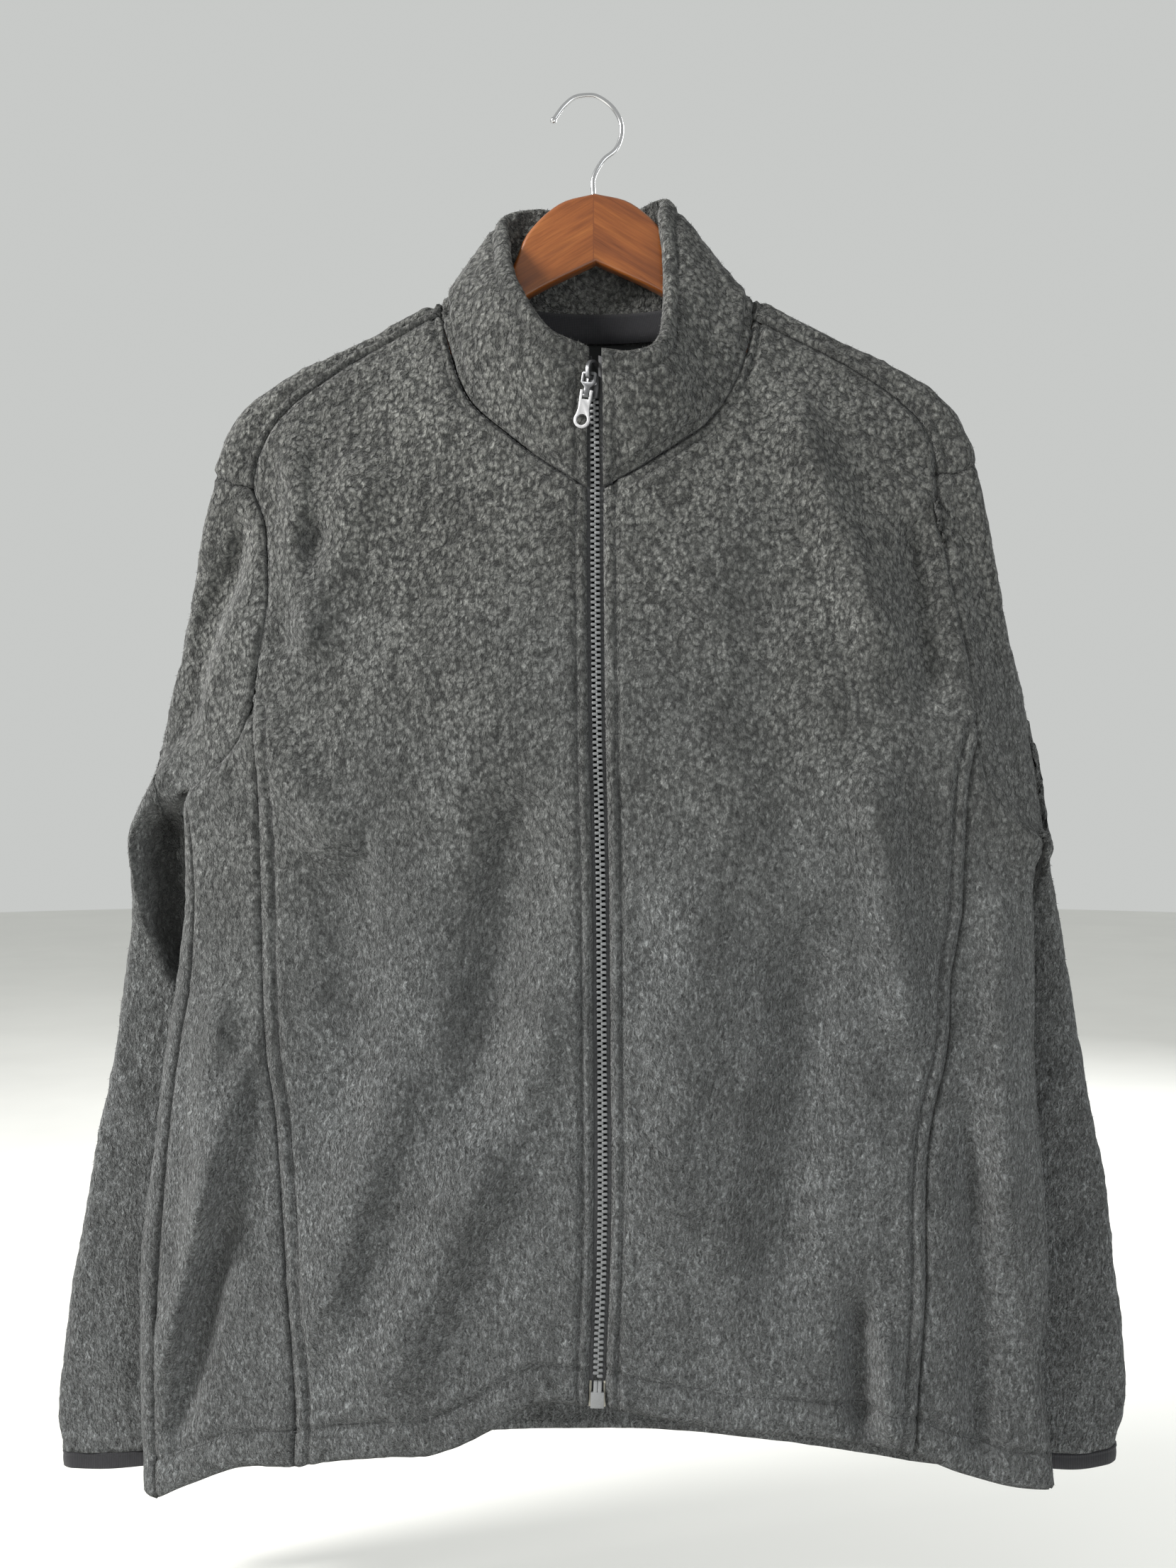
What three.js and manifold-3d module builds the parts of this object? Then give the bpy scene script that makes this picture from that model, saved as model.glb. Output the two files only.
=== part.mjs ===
// A fleece zip jacket with a stand collar, hanging on a wooden hanger with a wire hook.
// Millimetres. +Z is up, -Y is the front, and +X is the wearer's left. The origin is at the inner
// top of the hook, where it rests on what it hangs from.
import * as THREE from 'three';
import { mergeVertices } from 'three/addons/utils/BufferGeometryUtils.js';
import Module from 'manifold-3d';

// Driving sizes

const FLEECE = 2.5;
const SEAM_GAP = 0.3;
const BINDING = 1.5;
const BINDING_STEP = 0.3;
const THIN_CLOTH = 1;
const EDGE_HALF = 9;
const EDGE_RADIUS = 10;
const UNROLL = 40;
const SIDE_DEPTH = -12;
const FRONT_BULGE = 24;
const BACK_BULGE = 17;
const DRAPE_DROP = 230;
const APEX_Z = -235;
const UNDERARM_Z = -436;
const NECK_HALF = 94;
const NECK_TOP = -120;
const ZIP_EDGE = 5;
const CUFF_HEIGHT = 10;

// How many steps each seam has. Panels that meet on a seam share its steps.

const STEPS = { front: 10, side: 3, neckBack: 8, neckFront: 5, armUpper: 5, armTop: 2, skirt: 14, collar: 6 };
STEPS.arm = STEPS.armTop + STEPS.armUpper + STEPS.side;
const CAP_ROWS = 4;
const BACK_HOLD = 6;
const SLEEVE_ROWS = [4, 4, 11];

const rows = (names, ...lines) => {
  const keys = names.split(' ');
  return lines.map((line) => Object.fromEntries(keys.map((key, index) => [key, line[index]])));
};

// Outlines, seen from the front. Each side runs from the neck over the shoulder and down to the hem.

const OUTLINE = {
  right: rows('x z',
    [-94, -128], [-111, -135], [-139, -149], [-166, -164], [-186, -173], [-206, -185], [-218, -195],
    [-227, -208], [-233, -224], [-236, -236], [-243, -300], [-250, -380], [-253, -436], [-252, -487],
    [-254, -529], [-258, -556], [-263, -590], [-270, -647], [-277, -700], [-279, -745], [-279, -792],
    [-277, -866]),
  left: rows('x z',
    [98, -127], [116, -133], [132, -141], [163, -157], [193, -172], [211, -183], [223, -195],
    [231, -207], [236, -219], [239, -229], [250, -300], [266, -380], [279, -462], [274, -484],
    [273, -520], [273, -578], [274, -619], [279, -680], [282, -731], [279, -764], [276, -782],
    [279, -806], [285, -862]),
};

// Seams on the front, from neck or armhole outwards and down.

const SEAMS = {
  right: {
    shoulder: rows('x z', [-95, -138], [-110, -145], [-130, -156], [-150, -168], [-169, -181], [-186, -194],
      [-199, -209], [-207, -226], [-211, -246]),
    armTop: rows('x z', [-211, -246], [-224, -243], [-236, -236]),
    armUpper: rows('x z', [-211, -246], [-203, -266], [-200, -295], [-200, -325], [-204, -350], [-208, -381]),
    armLower: rows('x z', [-208, -381], [-216, -402], [-232, -420], [-253, -436]),
    armBack: rows('x z', [-236, -236], [-222, -262], [-214, -300], [-213, -350], [-226, -402], [-253, -436]),
    princess: rows('x z', [-208, -381], [-204, -426], [-202, -480], [-199, -585], [-192, -633], [-187, -700],
      [-185, -734], [-182, -773], [-180, -810], [-181, -841]),
    side: rows('x z', [-253, -436], [-247, -470], [-246, -540], [-255, -599], [-262, -667], [-268, -749],
      [-269, -802], [-268, -866]),
    neck: rows('x z', [-95, -138], [-89, -161], [-82, -183], [-73, -198], [-56, -213], [-33, -231],
      [-4, -249]),
    hem: rows('x z', [-3, -801], [-32, -799], [-60, -815], [-96, -831], [-125, -833], [-155, -836],
      [-181, -841]),
    sideHem: rows('x z', [-181, -841], [-214, -843], [-245, -855], [-268, -866]),
  },
  left: {
    shoulder: rows('x z', [99, -141], [117, -149], [142, -161], [166, -175], [188, -190], [203, -205],
      [210, -220], [212, -237]),
    armTop: rows('x z', [212, -237], [226, -236], [239, -229]),
    armUpper: rows('x z', [212, -237], [212, -257], [219, -295], [225, -328], [231, -360], [235, -400]),
    armLower: rows('x z', [235, -400], [241, -427], [256, -447], [279, -462]),
    armBack: rows('x z', [239, -229], [224, -256], [219, -300], [224, -360], [244, -422], [279, -462]),
    princess: rows('x z', [235, -400], [229, -425], [226, -465], [224, -506], [217, -547], [215, -588],
      [204, -638], [201, -680], [201, -733], [198, -782], [194, -834]),
    side: rows('x z', [279, -462], [273.5, -484], [272.5, -520], [272.5, -578], [273.5, -619], [278, -680],
      [281, -731], [278, -764], [275, -782], [278, -806], [284, -862]),
    neck: rows('x z', [99, -141], [95, -161], [84, -188], [69, -209], [51, -222], [29, -236], [6, -249]),
    hem: rows('x z', [7, -801], [23, -805], [53, -811], [83, -817], [121, -820], [160, -826], [194, -834]),
    sideHem: rows('x z', [194, -834], [221, -846], [254, -857], [284, -862]),
  },
};

const NECK_BACK = rows('x z side', [-95, -138, -1], [-94, -128, 0], [-84, -132, 1], [-45, -142, 1],
  [2, -145, 1], [48, -142, 1], [88, -132, 1], [98, -127, 0], [99, -141, -1]);
// Where the back's fourth row lies, just below the shoulders and the neck.
const YOKE = {
  right: rows('x z', [-212, -222], [-190, -196], [-150, -176], [-105, -156]),
  neck: rows('x z', [-105, -156], [-60, -163], [0, -168], [60, -163], [107, -155]),
  left: rows('x z', [107, -155], [150, -172], [190, -193], [214, -218]),
};
const BACK_HEM = rows('x z', [-268, -866], [-200, -850], [-100, -839], [0, -836], [100, -841], [200, -853],
  [284, -862]);
const ZIP_LINE = rows('x z', [1, -249], [1, -300], [2, -396], [4, -480], [5, -595], [5, -707], [2, -789],
  [2, -801]);

// Broad folds in the body, each a soft ridge (height above 0) or trough along a line.

const FRONT_FOLDS = rows('x0 z0 x1 z1 width height',
  [-186, -215, -176, -345, 11, 4],
  [-167, -270, -190, -350, 12, -5],
  [-140, -235, -192, -350, 20, 4],
  [-206, -395, -150, -470, 16, 3],
  [-45, -440, -66, -640, 22, -5],
  [-25, -560, -128, -790, 20, 4],
  [-120, -600, -168, -760, 18, 4],
  [-150, -470, -140, -640, 22, -3],
  [-228, -560, -240, -700, 12, 4],
  [-212, -600, -262, -780, 9, 4],
  [-222, -690, -255, -830, 9, -4],
  [120, -200, 175, -350, 16, 4],
  [196, -270, 205, -380, 12, -4],
  [95, -300, 120, -480, 22, -3],
  [60, -480, 45, -700, 24, 3],
  [130, -520, 110, -740, 22, -4],
  [165, -420, 190, -580, 16, 4],
  [158, -740, 162, -820, 9, -5],
  [175, -760, 178, -820, 8, 3],
  [245, -500, 250, -700, 13, 4],
  [230, -640, 236, -840, 11, -4]);
const BACK_FOLDS = rows('x0 z0 x1 z1 width height',
  [-150, -230, -110, -520, 22, 4],
  [-60, -260, -75, -700, 26, -4],
  [20, -420, 35, -800, 26, 4],
  [140, -240, 110, -520, 22, 4],
  [95, -560, 120, -820, 24, -4],
  [-150, -600, -165, -830, 20, 4],
  [190, -560, 205, -820, 18, 4],
  [-200, -400, -120, -470, 14, -3],
  [205, -410, 130, -480, 14, -3]);

// Sleeves. The outer and inner edges run down to the cuff; the rings are where the tube is guided.

const SLEEVES = {
  right: {
    outer: rows('x z', [-236, -236], [-243, -260], [-250, -301], [-259, -351], [-266, -380], [-271, -408],
      [-275, -424], [-284, -440], [-291, -453], [-293, -472], [-291, -490], [-291, -503], [-294, -535],
      [-303, -593], [-314, -648], [-323, -702], [-330, -740], [-336, -785], [-340, -818], [-339, -836],
      [-336, -848]),
    inner: rows('x z', [-253, -436], [-258, -447], [-256, -462], [-246, -500], [-238, -560], [-238, -700],
      [-243, -846]),
    rings: [
      { outerZ: -340, innerZ: -447, mid: rows('x z', [-266, -438], [-268, -420], [-263, -385]) },
      { outerZ: -500, innerZ: -500, mid: rows('x z', [-262, -505], [-277, -506]) },
      { outerZ: -848, innerZ: -846, mid: rows('x z', [-275, -847], [-307, -849]) },
    ],
    backRings: [rows('x z', [-256, -400]), rows('x z', [-268, -500]), rows('x z', [-290, -849])],
    edge: rows('z outer inner', [-236, -2, -12], [-300, 4, -12], [-400, 6, -12], [-440, -1, -10],
      [-475, -1, 6], [-520, 10, 14], [-600, 13, 17], [-700, 14, 19], [-848, 14, 19]),
    flap: rows('x z', [-150, -250], [-212, -254], [-214, -300], [-229, -330], [-237, -356], [-241, -380],
      [-247, -396], [-260, -408], [-276, -423], [-297, -440], [-297, -458], [-280, -452], [-263, -442],
      [-255, -452], [-150, -440]),
    flapDepth: rows('z seam edge', [-236, -18, -12], [-300, -24, -15], [-380, -24, -15], [-452, -20, -11]),
    band: rows('x z', [-300, -446], [-286, -455], [-263, -444], [-250, -452], [-244, -560], [-257, -556],
      [-266, -537], [-275, -520], [-283, -503], [-290, -486], [-300, -470]),
    bandDepth: { outer: -9, inner: 21, reach: 30 },
  },
  left: {
    outer: rows('x z', [239, -229], [246, -250], [251, -277], [255, -298], [262, -339], [269, -367],
      [276, -408], [283, -449], [292, -499], [302, -560], [315, -629], [326, -681], [331, -726], [336, -768],
      [340, -808], [338, -828], [331, -844]),
    inner: rows('x z', [279, -462], [284, -470], [277, -485], [262, -520], [252, -580], [245, -700],
      [241, -846]),
    rings: [
      { outerZ: -380, innerZ: -472, mid: rows('x z', [284, -464], [281, -440], [277, -415]) },
      { outerZ: -510, innerZ: -510, mid: rows('x z', [280, -512]) },
      { outerZ: -844, innerZ: -846, mid: rows('x z', [275, -848], [305, -849]) },
    ],
    backRings: [rows('x z', [280, -420]), rows('x z', [280, -510]), rows('x z', [290, -849])],
    edge: rows('z outer inner', [-229, -2, -12], [-300, 4, -12], [-400, 6, -12], [-462, 8, -10], [-490, 9, 8],
      [-520, 10, 14], [-600, 12, 17], [-700, 13, 19], [-848, 13, 19]),
    flap: null,
    band: null,
  },
};
const SLEEVE = { half: 9, soft: 5, frontBulge: 2, backBulge: 3, innerReach: 60, frontFlat: 5, backFlat: 10,
  backBlend: 60, flapEnd: -265, flapBlend: 60, clear: 2 };
const FAR = 99;
const SLEEVE_FOLDS = rows('x0 z0 x1 z1 width height',
  [-300, -620, -262, -660, 10, 3],
  [-318, -700, -270, -730, 10, -3],
  [-330, -770, -290, -800, 12, 3],
  [305, -600, 275, -650, 10, 3],
  [322, -690, 285, -720, 10, -3],
  [332, -770, 295, -800, 12, 3]);

// The top edge of the collar, from the right zip edge round the back to the left one.

const COLLAR_TOP = rows('at x y z',
  [0, -3.6, -36, -169.5], [0.09, -27, -42, -160], [0.17, -44, -37, -137], [0.23, -52, -27, -119],
  [0.29, -56, -8, -92], [0.35, -56, 13, -71], [0.42, -36, 22, -66], [0.5, 0, 24, -69], [0.58, 30, 22, -66],
  [0.65, 46, 12, -62], [0.7, 44, -5, -77], [0.77, 46, -18, -110], [0.84, 45, -34, -152], [0.9, 38, -42, -168],
  [0.95, 23, -43, -174], [1, 4.8, -43.5, -173]);
const COLLAR_BULGE = rows('at out', [0, 1], [0.12, 3], [0.25, 3], [0.4, 1], [0.6, 1], [0.75, 2], [0.82, -3],
  [0.9, 4], [1, 1]);

// Zip. Offsets are across the zip and out from the fleece.

const ZIP = { middle: -2.1, chainHalf: 3, chainFront: -0.8, chainBack: -3.4, chainEnd: -785.3,
  tapeInner: 3.3, tapeCover: 7, tapeFront: -2.8, tapeBack: -3.6 };
const BOX = { z: -792, height: 9.3, half: 4, front: 0.7, back: -2.5, pinTop: -785.6, pinHalf: 1.1,
  pinGap: 0.2, pinRoot: 1 };
// The slider lies in the zip's own frame: across, up along the zip, and out from the chain's middle.
const SLIDER = { z: -190.3, half: 4.1, foot: 3, reach: 6.7, corner: 1.5, plateFrom: 1.6, plateTo: 3.2,
  backFrom: -3.4, backTo: -1.8, coreHalf: 2.95, coreDeep: 2, railHalf: 1.2, railThick: 1.5, railFront: 8.8,
  railBack: -5.6, railRise: 9.8, railTop: 16.3, railFoot: 4.7 };
const TWIST = { slider: THREE.MathUtils.degToRad(35), from: -240, to: -198 };
// The pull hangs in the rail. Sizes run down from its crossbar, and for the tab from the link's barrel.
const PULL = { twist: THREE.MathUtils.degToRad(22), lean: THREE.MathUtils.degToRad(10), rise: 7.8, out: 5.6,
  bar: 0.9, plate: 1.6, windowHalf: 3, windowReach: 5.3, headHalf: 4.6, headReach: 6.8, corner: 1,
  shaftHalf: 1.8, shaftTop: 8.6, length: 13.4, barrel: 1.6, bore: 0.9 };
const TAB = { pin: 0.6, pinRoot: 0.5, plate: 1.8, top: 3.2, half: 3.9, slotHalf: 2.15, slotFoot: 2.4,
  neckHalf: 3.4, neck: 8, ringAt: 14.6, ringRadius: 5.1, holeRadius: 3.4 };

// Hanger

const HANGER = {
  half: 5.5,
  tilt: THREE.MathUtils.degToRad(0.8),
  top: rows('x z', [0, -61], [22, -67], [42, -85], [51, -104], [64, -125], [98, -141], [132, -153.5],
    [163, -169], [190, -183], [203, -194], [208, -203]),
  bottom: rows('x z', [205, -213], [190, -210], [150, -192], [98, -163], [43, -125], [0, -104]),
  chamfer: 2.5,
};
const HOOK = {
  wire: 1.45,
  seat: 14,
  path: rows('x z', [0, -75], [0, -61], [0, -50], [6, -39], [14, -32], [17.5, -22], [16.5, -13.5], [11, -5],
    [2, 1], [-5, 1.6], [-12, 0.2], [-18, -4.5], [-22, -9.5], [-25, -14]),
  tip: 2.1,
};

const COLOURS = { fleece: 0x55585a, binding: 0x2c2d2f, facing: 0x17181a, bag: 0x3a3c3e, tape: 0x3d3f41,
  teeth: 0x77797a, slider: 0x5c5d60, pull: 0x8d8f91, wood: 0x8a4a2c, steel: 0xc4c6c8 };

// Curves and small maths

const mix = (a, b, f) => a + (b - a) * f;
const clamp = (value, low, high) => Math.min(high, Math.max(low, value));
const smooth = (value) => {
  const f = clamp(value, 0, 1);
  return f * f * (3 - 2 * f);
};
const xz = (list) => list.map((row) => [row.x, row.z]);
const distance = (a, b) => Math.hypot(...a.map((value, index) => value - b[index]));

// A smooth curve through points, read by its share of the length along the chords.
function spline(points) {
  const at = [0];
  for (let i = 1; i < points.length; i += 1) at.push(at[i - 1] + distance(points[i], points[i - 1]));
  const last = points.length - 1;
  const tangent = points.map((point, i) => {
    const before = Math.max(0, i - 1);
    const after = Math.min(last, i + 1);
    return point.map((_, axis) => (points[after][axis] - points[before][axis]) / (at[after] - at[before]));
  });
  const read = (s) => {
    let i = 0;
    while (i < last - 1 && s > at[i + 1]) i += 1;
    const span = at[i + 1] - at[i];
    const f = clamp((s - at[i]) / span, 0, 1);
    const g = 1 - f;
    const next = points[i + 1];
    return points[i].map((value, axis) => g * g * (1 + 2 * f) * value + f * f * (3 - 2 * f) * next[axis]
      + span * f * g * (g * tangent[i][axis] - f * tangent[i + 1][axis]));
  };
  const curve = (share) => read(share * at[last]);
  curve.between = (i, f) => read(mix(at[i], at[i + 1], f));
  return curve;
}

const sample = (points, steps) => {
  const curve = spline(points);
  return Array.from({ length: steps + 1 }, (_, i) => curve(i / steps));
};

// Reads a table by one column, straight between its rows.
function lookup(table, key, value, want) {
  const falling = table[0][key] > table[table.length - 1][key];
  const list = falling ? [...table].reverse() : table;
  if (value <= list[0][key]) return list[0][want];
  for (let i = 1; i < list.length; i += 1) {
    if (value <= list[i][key]) {
      const share = (value - list[i - 1][key]) / (list[i][key] - list[i - 1][key]);
      return mix(list[i - 1][want], list[i][want], share);
    }
  }
  return list[list.length - 1][want];
}

function nearest(line, x, z) {
  let best = { far: Infinity };
  for (let i = 1; i < line.length; i += 1) {
    const [ax, az] = line[i - 1];
    const dx = line[i][0] - ax;
    const dz = line[i][1] - az;
    const f = clamp(((x - ax) * dx + (z - az) * dz) / (dx * dx + dz * dz), 0, 1);
    const far = Math.hypot(x - ax - f * dx, z - az - f * dz);
    if (far < best.far) best = { far, x: ax + f * dx, z: az + f * dz };
  }
  return best;
}

function inside(line, x, z) {
  let odd = false;
  for (let i = 0, j = line.length - 1; i < line.length; j = i, i += 1) {
    const [ax, az] = line[i];
    const [bx, bz] = line[j];
    if ((az > z) !== (bz > z) && x < ax + ((z - az) / (bz - az)) * (bx - ax)) odd = !odd;
  }
  return odd;
}

// A soft mask, 1 well inside a closed line and 0 well outside.
function region(list, soft) {
  const line = xz(list);
  const closed = [...line, line[0]];
  return (x, z) => {
    const far = nearest(closed, x, z).far;
    return smooth(0.5 + (inside(line, x, z) ? far : -far) / (2 * soft));
  };
}

const roundOver = (far, radius) => Math.sqrt(1 - (1 - clamp(far / radius, 0, 1)) ** 2);

const FOLD_END = 0.15;

function foldDepth(folds, x, z) {
  let total = 0;
  for (const fold of folds) {
    const dx = fold.x1 - fold.x0;
    const dz = fold.z1 - fold.z0;
    const f = ((x - fold.x0) * dx + (z - fold.z0) * dz) / (dx * dx + dz * dz);
    const off = ((x - fold.x0) * dz - (z - fold.z0) * dx) / Math.hypot(dx, dz);
    const ends = smooth((f + FOLD_END) / (2 * FOLD_END)) * smooth((1 + FOLD_END - f) / (2 * FOLD_END));
    total += fold.height * Math.exp(-((off / fold.width) ** 2)) * ends;
  }
  return total;
}

// The body: a front and a back sheet that roll into each other along the outline.

const OUTLINE_STEPS = 90;
const FAR_BELOW = -2000;
const rightLine = sample(xz(OUTLINE.right), OUTLINE_STEPS);
const leftLine = sample(xz(OUTLINE.left), OUTLINE_STEPS);
const rightEnd = rightLine[OUTLINE_STEPS];
const leftEnd = leftLine[OUTLINE_STEPS];
const bodyLine = [[rightEnd[0], FAR_BELOW], ...[...rightLine].reverse(), ...leftLine,
  [leftEnd[0], FAR_BELOW]];
const asTable = (line) => line.map(([x, z]) => ({ x, z }));
const rightTable = asTable(rightLine);
const leftTable = asTable(leftLine);

function ridgeZ(x) {
  if (Math.abs(x) < NECK_HALF) return NECK_TOP;
  const list = (x < 0 ? OUTLINE.right : OUTLINE.left).slice(0, 7);
  return lookup(list, 'x', x, 'z');
}

function sheet(x, z, side) {
  const edge = SIDE_DEPTH * smooth((APEX_Z - z) / (APEX_Z - UNDERARM_Z));
  const rounding = roundOver(nearest(bodyLine, x, z).far, EDGE_RADIUS);
  const low = lookup(rightTable, 'z', z, 'x');
  const high = lookup(leftTable, 'z', z, 'x');
  const across = clamp(Math.abs((2 * x - low - high) / (high - low)), 0, 1);
  const hang = 1 - (1 - clamp((ridgeZ(x) - z) / DRAPE_DROP, 0, 1)) ** 3;
  if (side < 0) {
    const bulge = FRONT_BULGE * (1 - across ** 2.4) * hang;
    return edge - rounding * (EDGE_HALF + foldDepth(FRONT_FOLDS, x, z)) - bulge;
  }
  const bulge = BACK_BULGE * (1 - across ** 2) * hang;
  return edge + rounding * (EDGE_HALF + foldDepth(BACK_FOLDS, x, z)) + bulge;
}

const front = ([x, z]) => [x, sheet(x, z, -1), z];
const back = ([x, z]) => [x, sheet(x, z, 1), z];

// Near the outline the cloth is laid out flat: what lies on the front side is mirrored to outside it.

const rolled = (far) => UNROLL * (2 * (far / UNROLL) ** 2 - (far / UNROLL) ** 3);

function unrolled(depth) {
  let low = 0;
  let high = UNROLL;
  for (let i = 0; i < 30; i += 1) {
    const middle = (low + high) / 2;
    if (rolled(middle) < depth) low = middle;
    else high = middle;
  }
  return (low + high) / 2;
}

function layOut([x, z], side) {
  const near = nearest(bodyLine, x, z);
  if (near.far >= UNROLL || near.far < 1e-6) return [x, z];
  const reach = (side * unrolled(near.far)) / near.far;
  return [near.x + (x - near.x) * reach, near.z + (z - near.z) * reach];
}

function wrap([x, z]) {
  const near = nearest(bodyLine, x, z);
  const within = inside(bodyLine, x, z);
  if (near.far >= UNROLL || near.far < 1e-6) return within ? back([x, z]) : front([x, z]);
  const reach = ((within ? 1 : -1) * rolled(near.far)) / near.far;
  const spot = [near.x + (x - near.x) * reach, near.z + (z - near.z) * reach];
  return within ? back(spot) : front(spot);
}

// Grids. A grid is a list of rows of points; rows run across, from the first column to the last.

// Rows through guide rows, with counts[i] steps between guides i and i + 1.
function guided(guides, counts) {
  const columns = guides[0].map((_, i) => spline(guides.map((guide) => guide[i])));
  const grid = [];
  counts.forEach((count, g) => {
    for (let step = g ? 1 : 0; step <= count; step += 1) {
      grid.push(columns.map((column) => column.between(g, step / count)));
    }
  });
  return grid;
}

// Draws the first and last columns onto given edges and carries the rest along; a higher hold keeps
// the carry near the edges.
function fitSides(grid, first, last, hold = 1) {
  return grid.map((row, j) => {
    const end = row.length - 1;
    return row.map((point, i) => point.map((value, axis) => value
      + (1 - i / end) ** hold * (first[j][axis] - row[0][axis])
      + (i / end) ** hold * (last[j][axis] - row[end][axis])));
  });
}

const join = (...lists) => lists.flatMap((list, i) => (i ? list.slice(1) : list));
const reversed = (list) => [...list].reverse();

function bodySeams(name) {
  const seam = SEAMS[name];
  const lines = {
    shoulder: sample(xz(seam.shoulder), STEPS.front),
    armTop: sample(xz(seam.armTop), STEPS.armTop),
    armUpper: sample(xz(seam.armUpper), STEPS.armUpper),
    armLower: sample(xz(seam.armLower), STEPS.side),
    armBack: sample(xz(seam.armBack), STEPS.arm),
    princess: sample(xz(seam.princess), STEPS.skirt),
    side: sample(xz(seam.side), STEPS.skirt),
    neck: sample(xz(seam.neck), STEPS.neckFront),
    hem: sample(xz(seam.hem), STEPS.front),
    sideHem: sample(xz(seam.sideHem), STEPS.side),
  };
  const away = name === 'right' ? -ZIP_EDGE : ZIP_EDGE;
  lines.zip = sample(xz(ZIP_LINE), STEPS.skirt).map(([x, z]) => [x + away, z]);
  lines.neck[STEPS.neckFront] = lines.zip[0];
  lines.hem[0] = lines.zip[STEPS.skirt];
  return lines;
}

const seams = { right: bodySeams('right'), left: bodySeams('left') };
const neckBackLine = spline(NECK_BACK.map((row) => {
  if (row.side === 0) return [row.x, row.z];
  return layOut([row.x, row.z], row.side);
}));
const neckBack = Array.from({ length: STEPS.neckBack + 1 },
  (_, i) => neckBackLine.between(Math.min(i, STEPS.neckBack - 1), i < STEPS.neckBack ? 0 : 1));

function frontPanel(name) {
  const line = seams[name];
  const flat = guided([line.shoulder, line.hem], [STEPS.neckFront + STEPS.skirt]);
  const fitted = fitSides(flat, join(line.neck, line.zip), join(line.armUpper, line.princess));
  return fitted.map((row) => row.map(front));
}

function sidePanel(name) {
  const line = seams[name];
  const flat = guided([line.armLower, line.sideHem], [STEPS.skirt]);
  return fitSides(flat, line.princess, line.side).map((row) => row.map(front));
}

// The back is laid out flat, with its forward shoulder strips beyond the shoulder line. Its edges
// are then the very points of its neighbours.
function backPanel() {
  const toFront = (list) => list.map((point) => layOut(point, -1));
  const toBack = (list) => list.map((point) => layOut(point, 1));
  const edge = (name, onFront, onBack) => {
    const line = seams[name];
    return [...onFront(line.armTop), ...onBack(line.armBack.slice(1, -1)), ...onFront(line.side)];
  };
  const first = edge('right', toFront, toBack);
  const last = edge('left', toFront, toBack);
  const top = join(toFront(reversed(seams.right.shoulder)), neckBack, toFront(seams.left.shoulder));
  const [capRight, capNeck, capLeft] = [YOKE.right, YOKE.neck, YOKE.left].map(xz);
  const cap = join(sample([first[CAP_ROWS], ...capRight], STEPS.front), sample(capNeck, STEPS.neckBack),
    sample([...capLeft, last[CAP_ROWS]], STEPS.front));
  const hemPoints = [first[first.length - 1], ...xz(BACK_HEM).slice(1, -1), last[last.length - 1]];
  const hem = sample(hemPoints, top.length - 1);
  const laid = guided([top, cap, hem], [CAP_ROWS, first.length - 1 - CAP_ROWS]);
  const flat = fitSides(laid, first, last, BACK_HOLD);
  const grid = flat.map((row) => row.map(wrap));
  const fronts = (list) => list.map(front);
  const backs = (list) => list.map(back);
  grid[0] = join(fronts(reversed(seams.right.shoulder)), neckBack.map(wrap), fronts(seams.left.shoulder));
  const firstEdge = edge('right', fronts, backs);
  const lastEdge = edge('left', fronts, backs);
  return grid.map((row, j) => [firstEdge[j], ...row.slice(1, -1), lastEdge[j]]);
}

// Sleeves: a front and a back sheet of their own, drawn onto the armhole at the top.

function sleeveDepths(name) {
  const sleeve = SLEEVES[name];
  const outerLine = sample(xz(sleeve.outer), OUTLINE_STEPS);
  const outerTable = asTable(outerLine);
  const innerLine = sample(xz(sleeve.inner), OUTLINE_STEPS);
  const flap = sleeve.flap ? region(sleeve.flap, SLEEVE.soft) : null;
  const band = sleeve.band ? region(sleeve.band, SLEEVE.soft) : null;
  const underarm = sleeve.inner[0].z;
  return (x, z, side) => {
    const toOuter = nearest(outerLine, x, z).far;
    const toInner = z < underarm ? nearest(innerLine, x, z).far : FAR;
    const outerY = lookup(sleeve.edge, 'z', z, 'outer');
    const innerY = lookup(sleeve.edge, 'z', z, 'inner');
    const share = toOuter / (toOuter + Math.min(toInner, SLEEVE.innerReach));
    const edge = mix(outerY, innerY, share);
    const rounding = Math.min(roundOver(toOuter, SLEEVE.half), roundOver(toInner, SLEEVE.half));
    const middle = 1 - (2 * share - 1) ** 2;
    if (side > 0) {
      const flat = SLEEVE.backFlat * smooth((APEX_Z - z) / SLEEVE.backBlend);
      return Math.max(edge, flat) + rounding * (SLEEVE.half + SLEEVE.backBulge * middle);
    }
    const base = z < underarm ? edge : Math.max(edge, SLEEVE.frontFlat);
    let depth = base - SLEEVE.half - SLEEVE.frontBulge * middle - foldDepth(SLEEVE_FOLDS, x, z);
    if (flap) {
      const seamY = lookup(sleeve.flapDepth, 'z', z, 'seam');
      const edgeY = lookup(sleeve.flapDepth, 'z', z, 'edge');
      const flapY = mix(edgeY, seamY, smooth((x - SLEEVE.flapEnd) / SLEEVE.flapBlend));
      depth = mix(depth, flapY, flap(x, z));
      const inward = smooth((x - lookup(outerTable, 'z', z, 'x')) / sleeve.bandDepth.reach);
      depth = mix(depth, mix(sleeve.bandDepth.outer, sleeve.bandDepth.inner, inward), band(x, z));
    }
    if (z < underarm && inside(bodyLine, x, z)) depth = Math.max(depth, sheet(x, z, 1) + SLEEVE.clear);
    return mix(edge, depth, rounding);
  };
}

const PIN_ROWS = 5;

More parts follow.
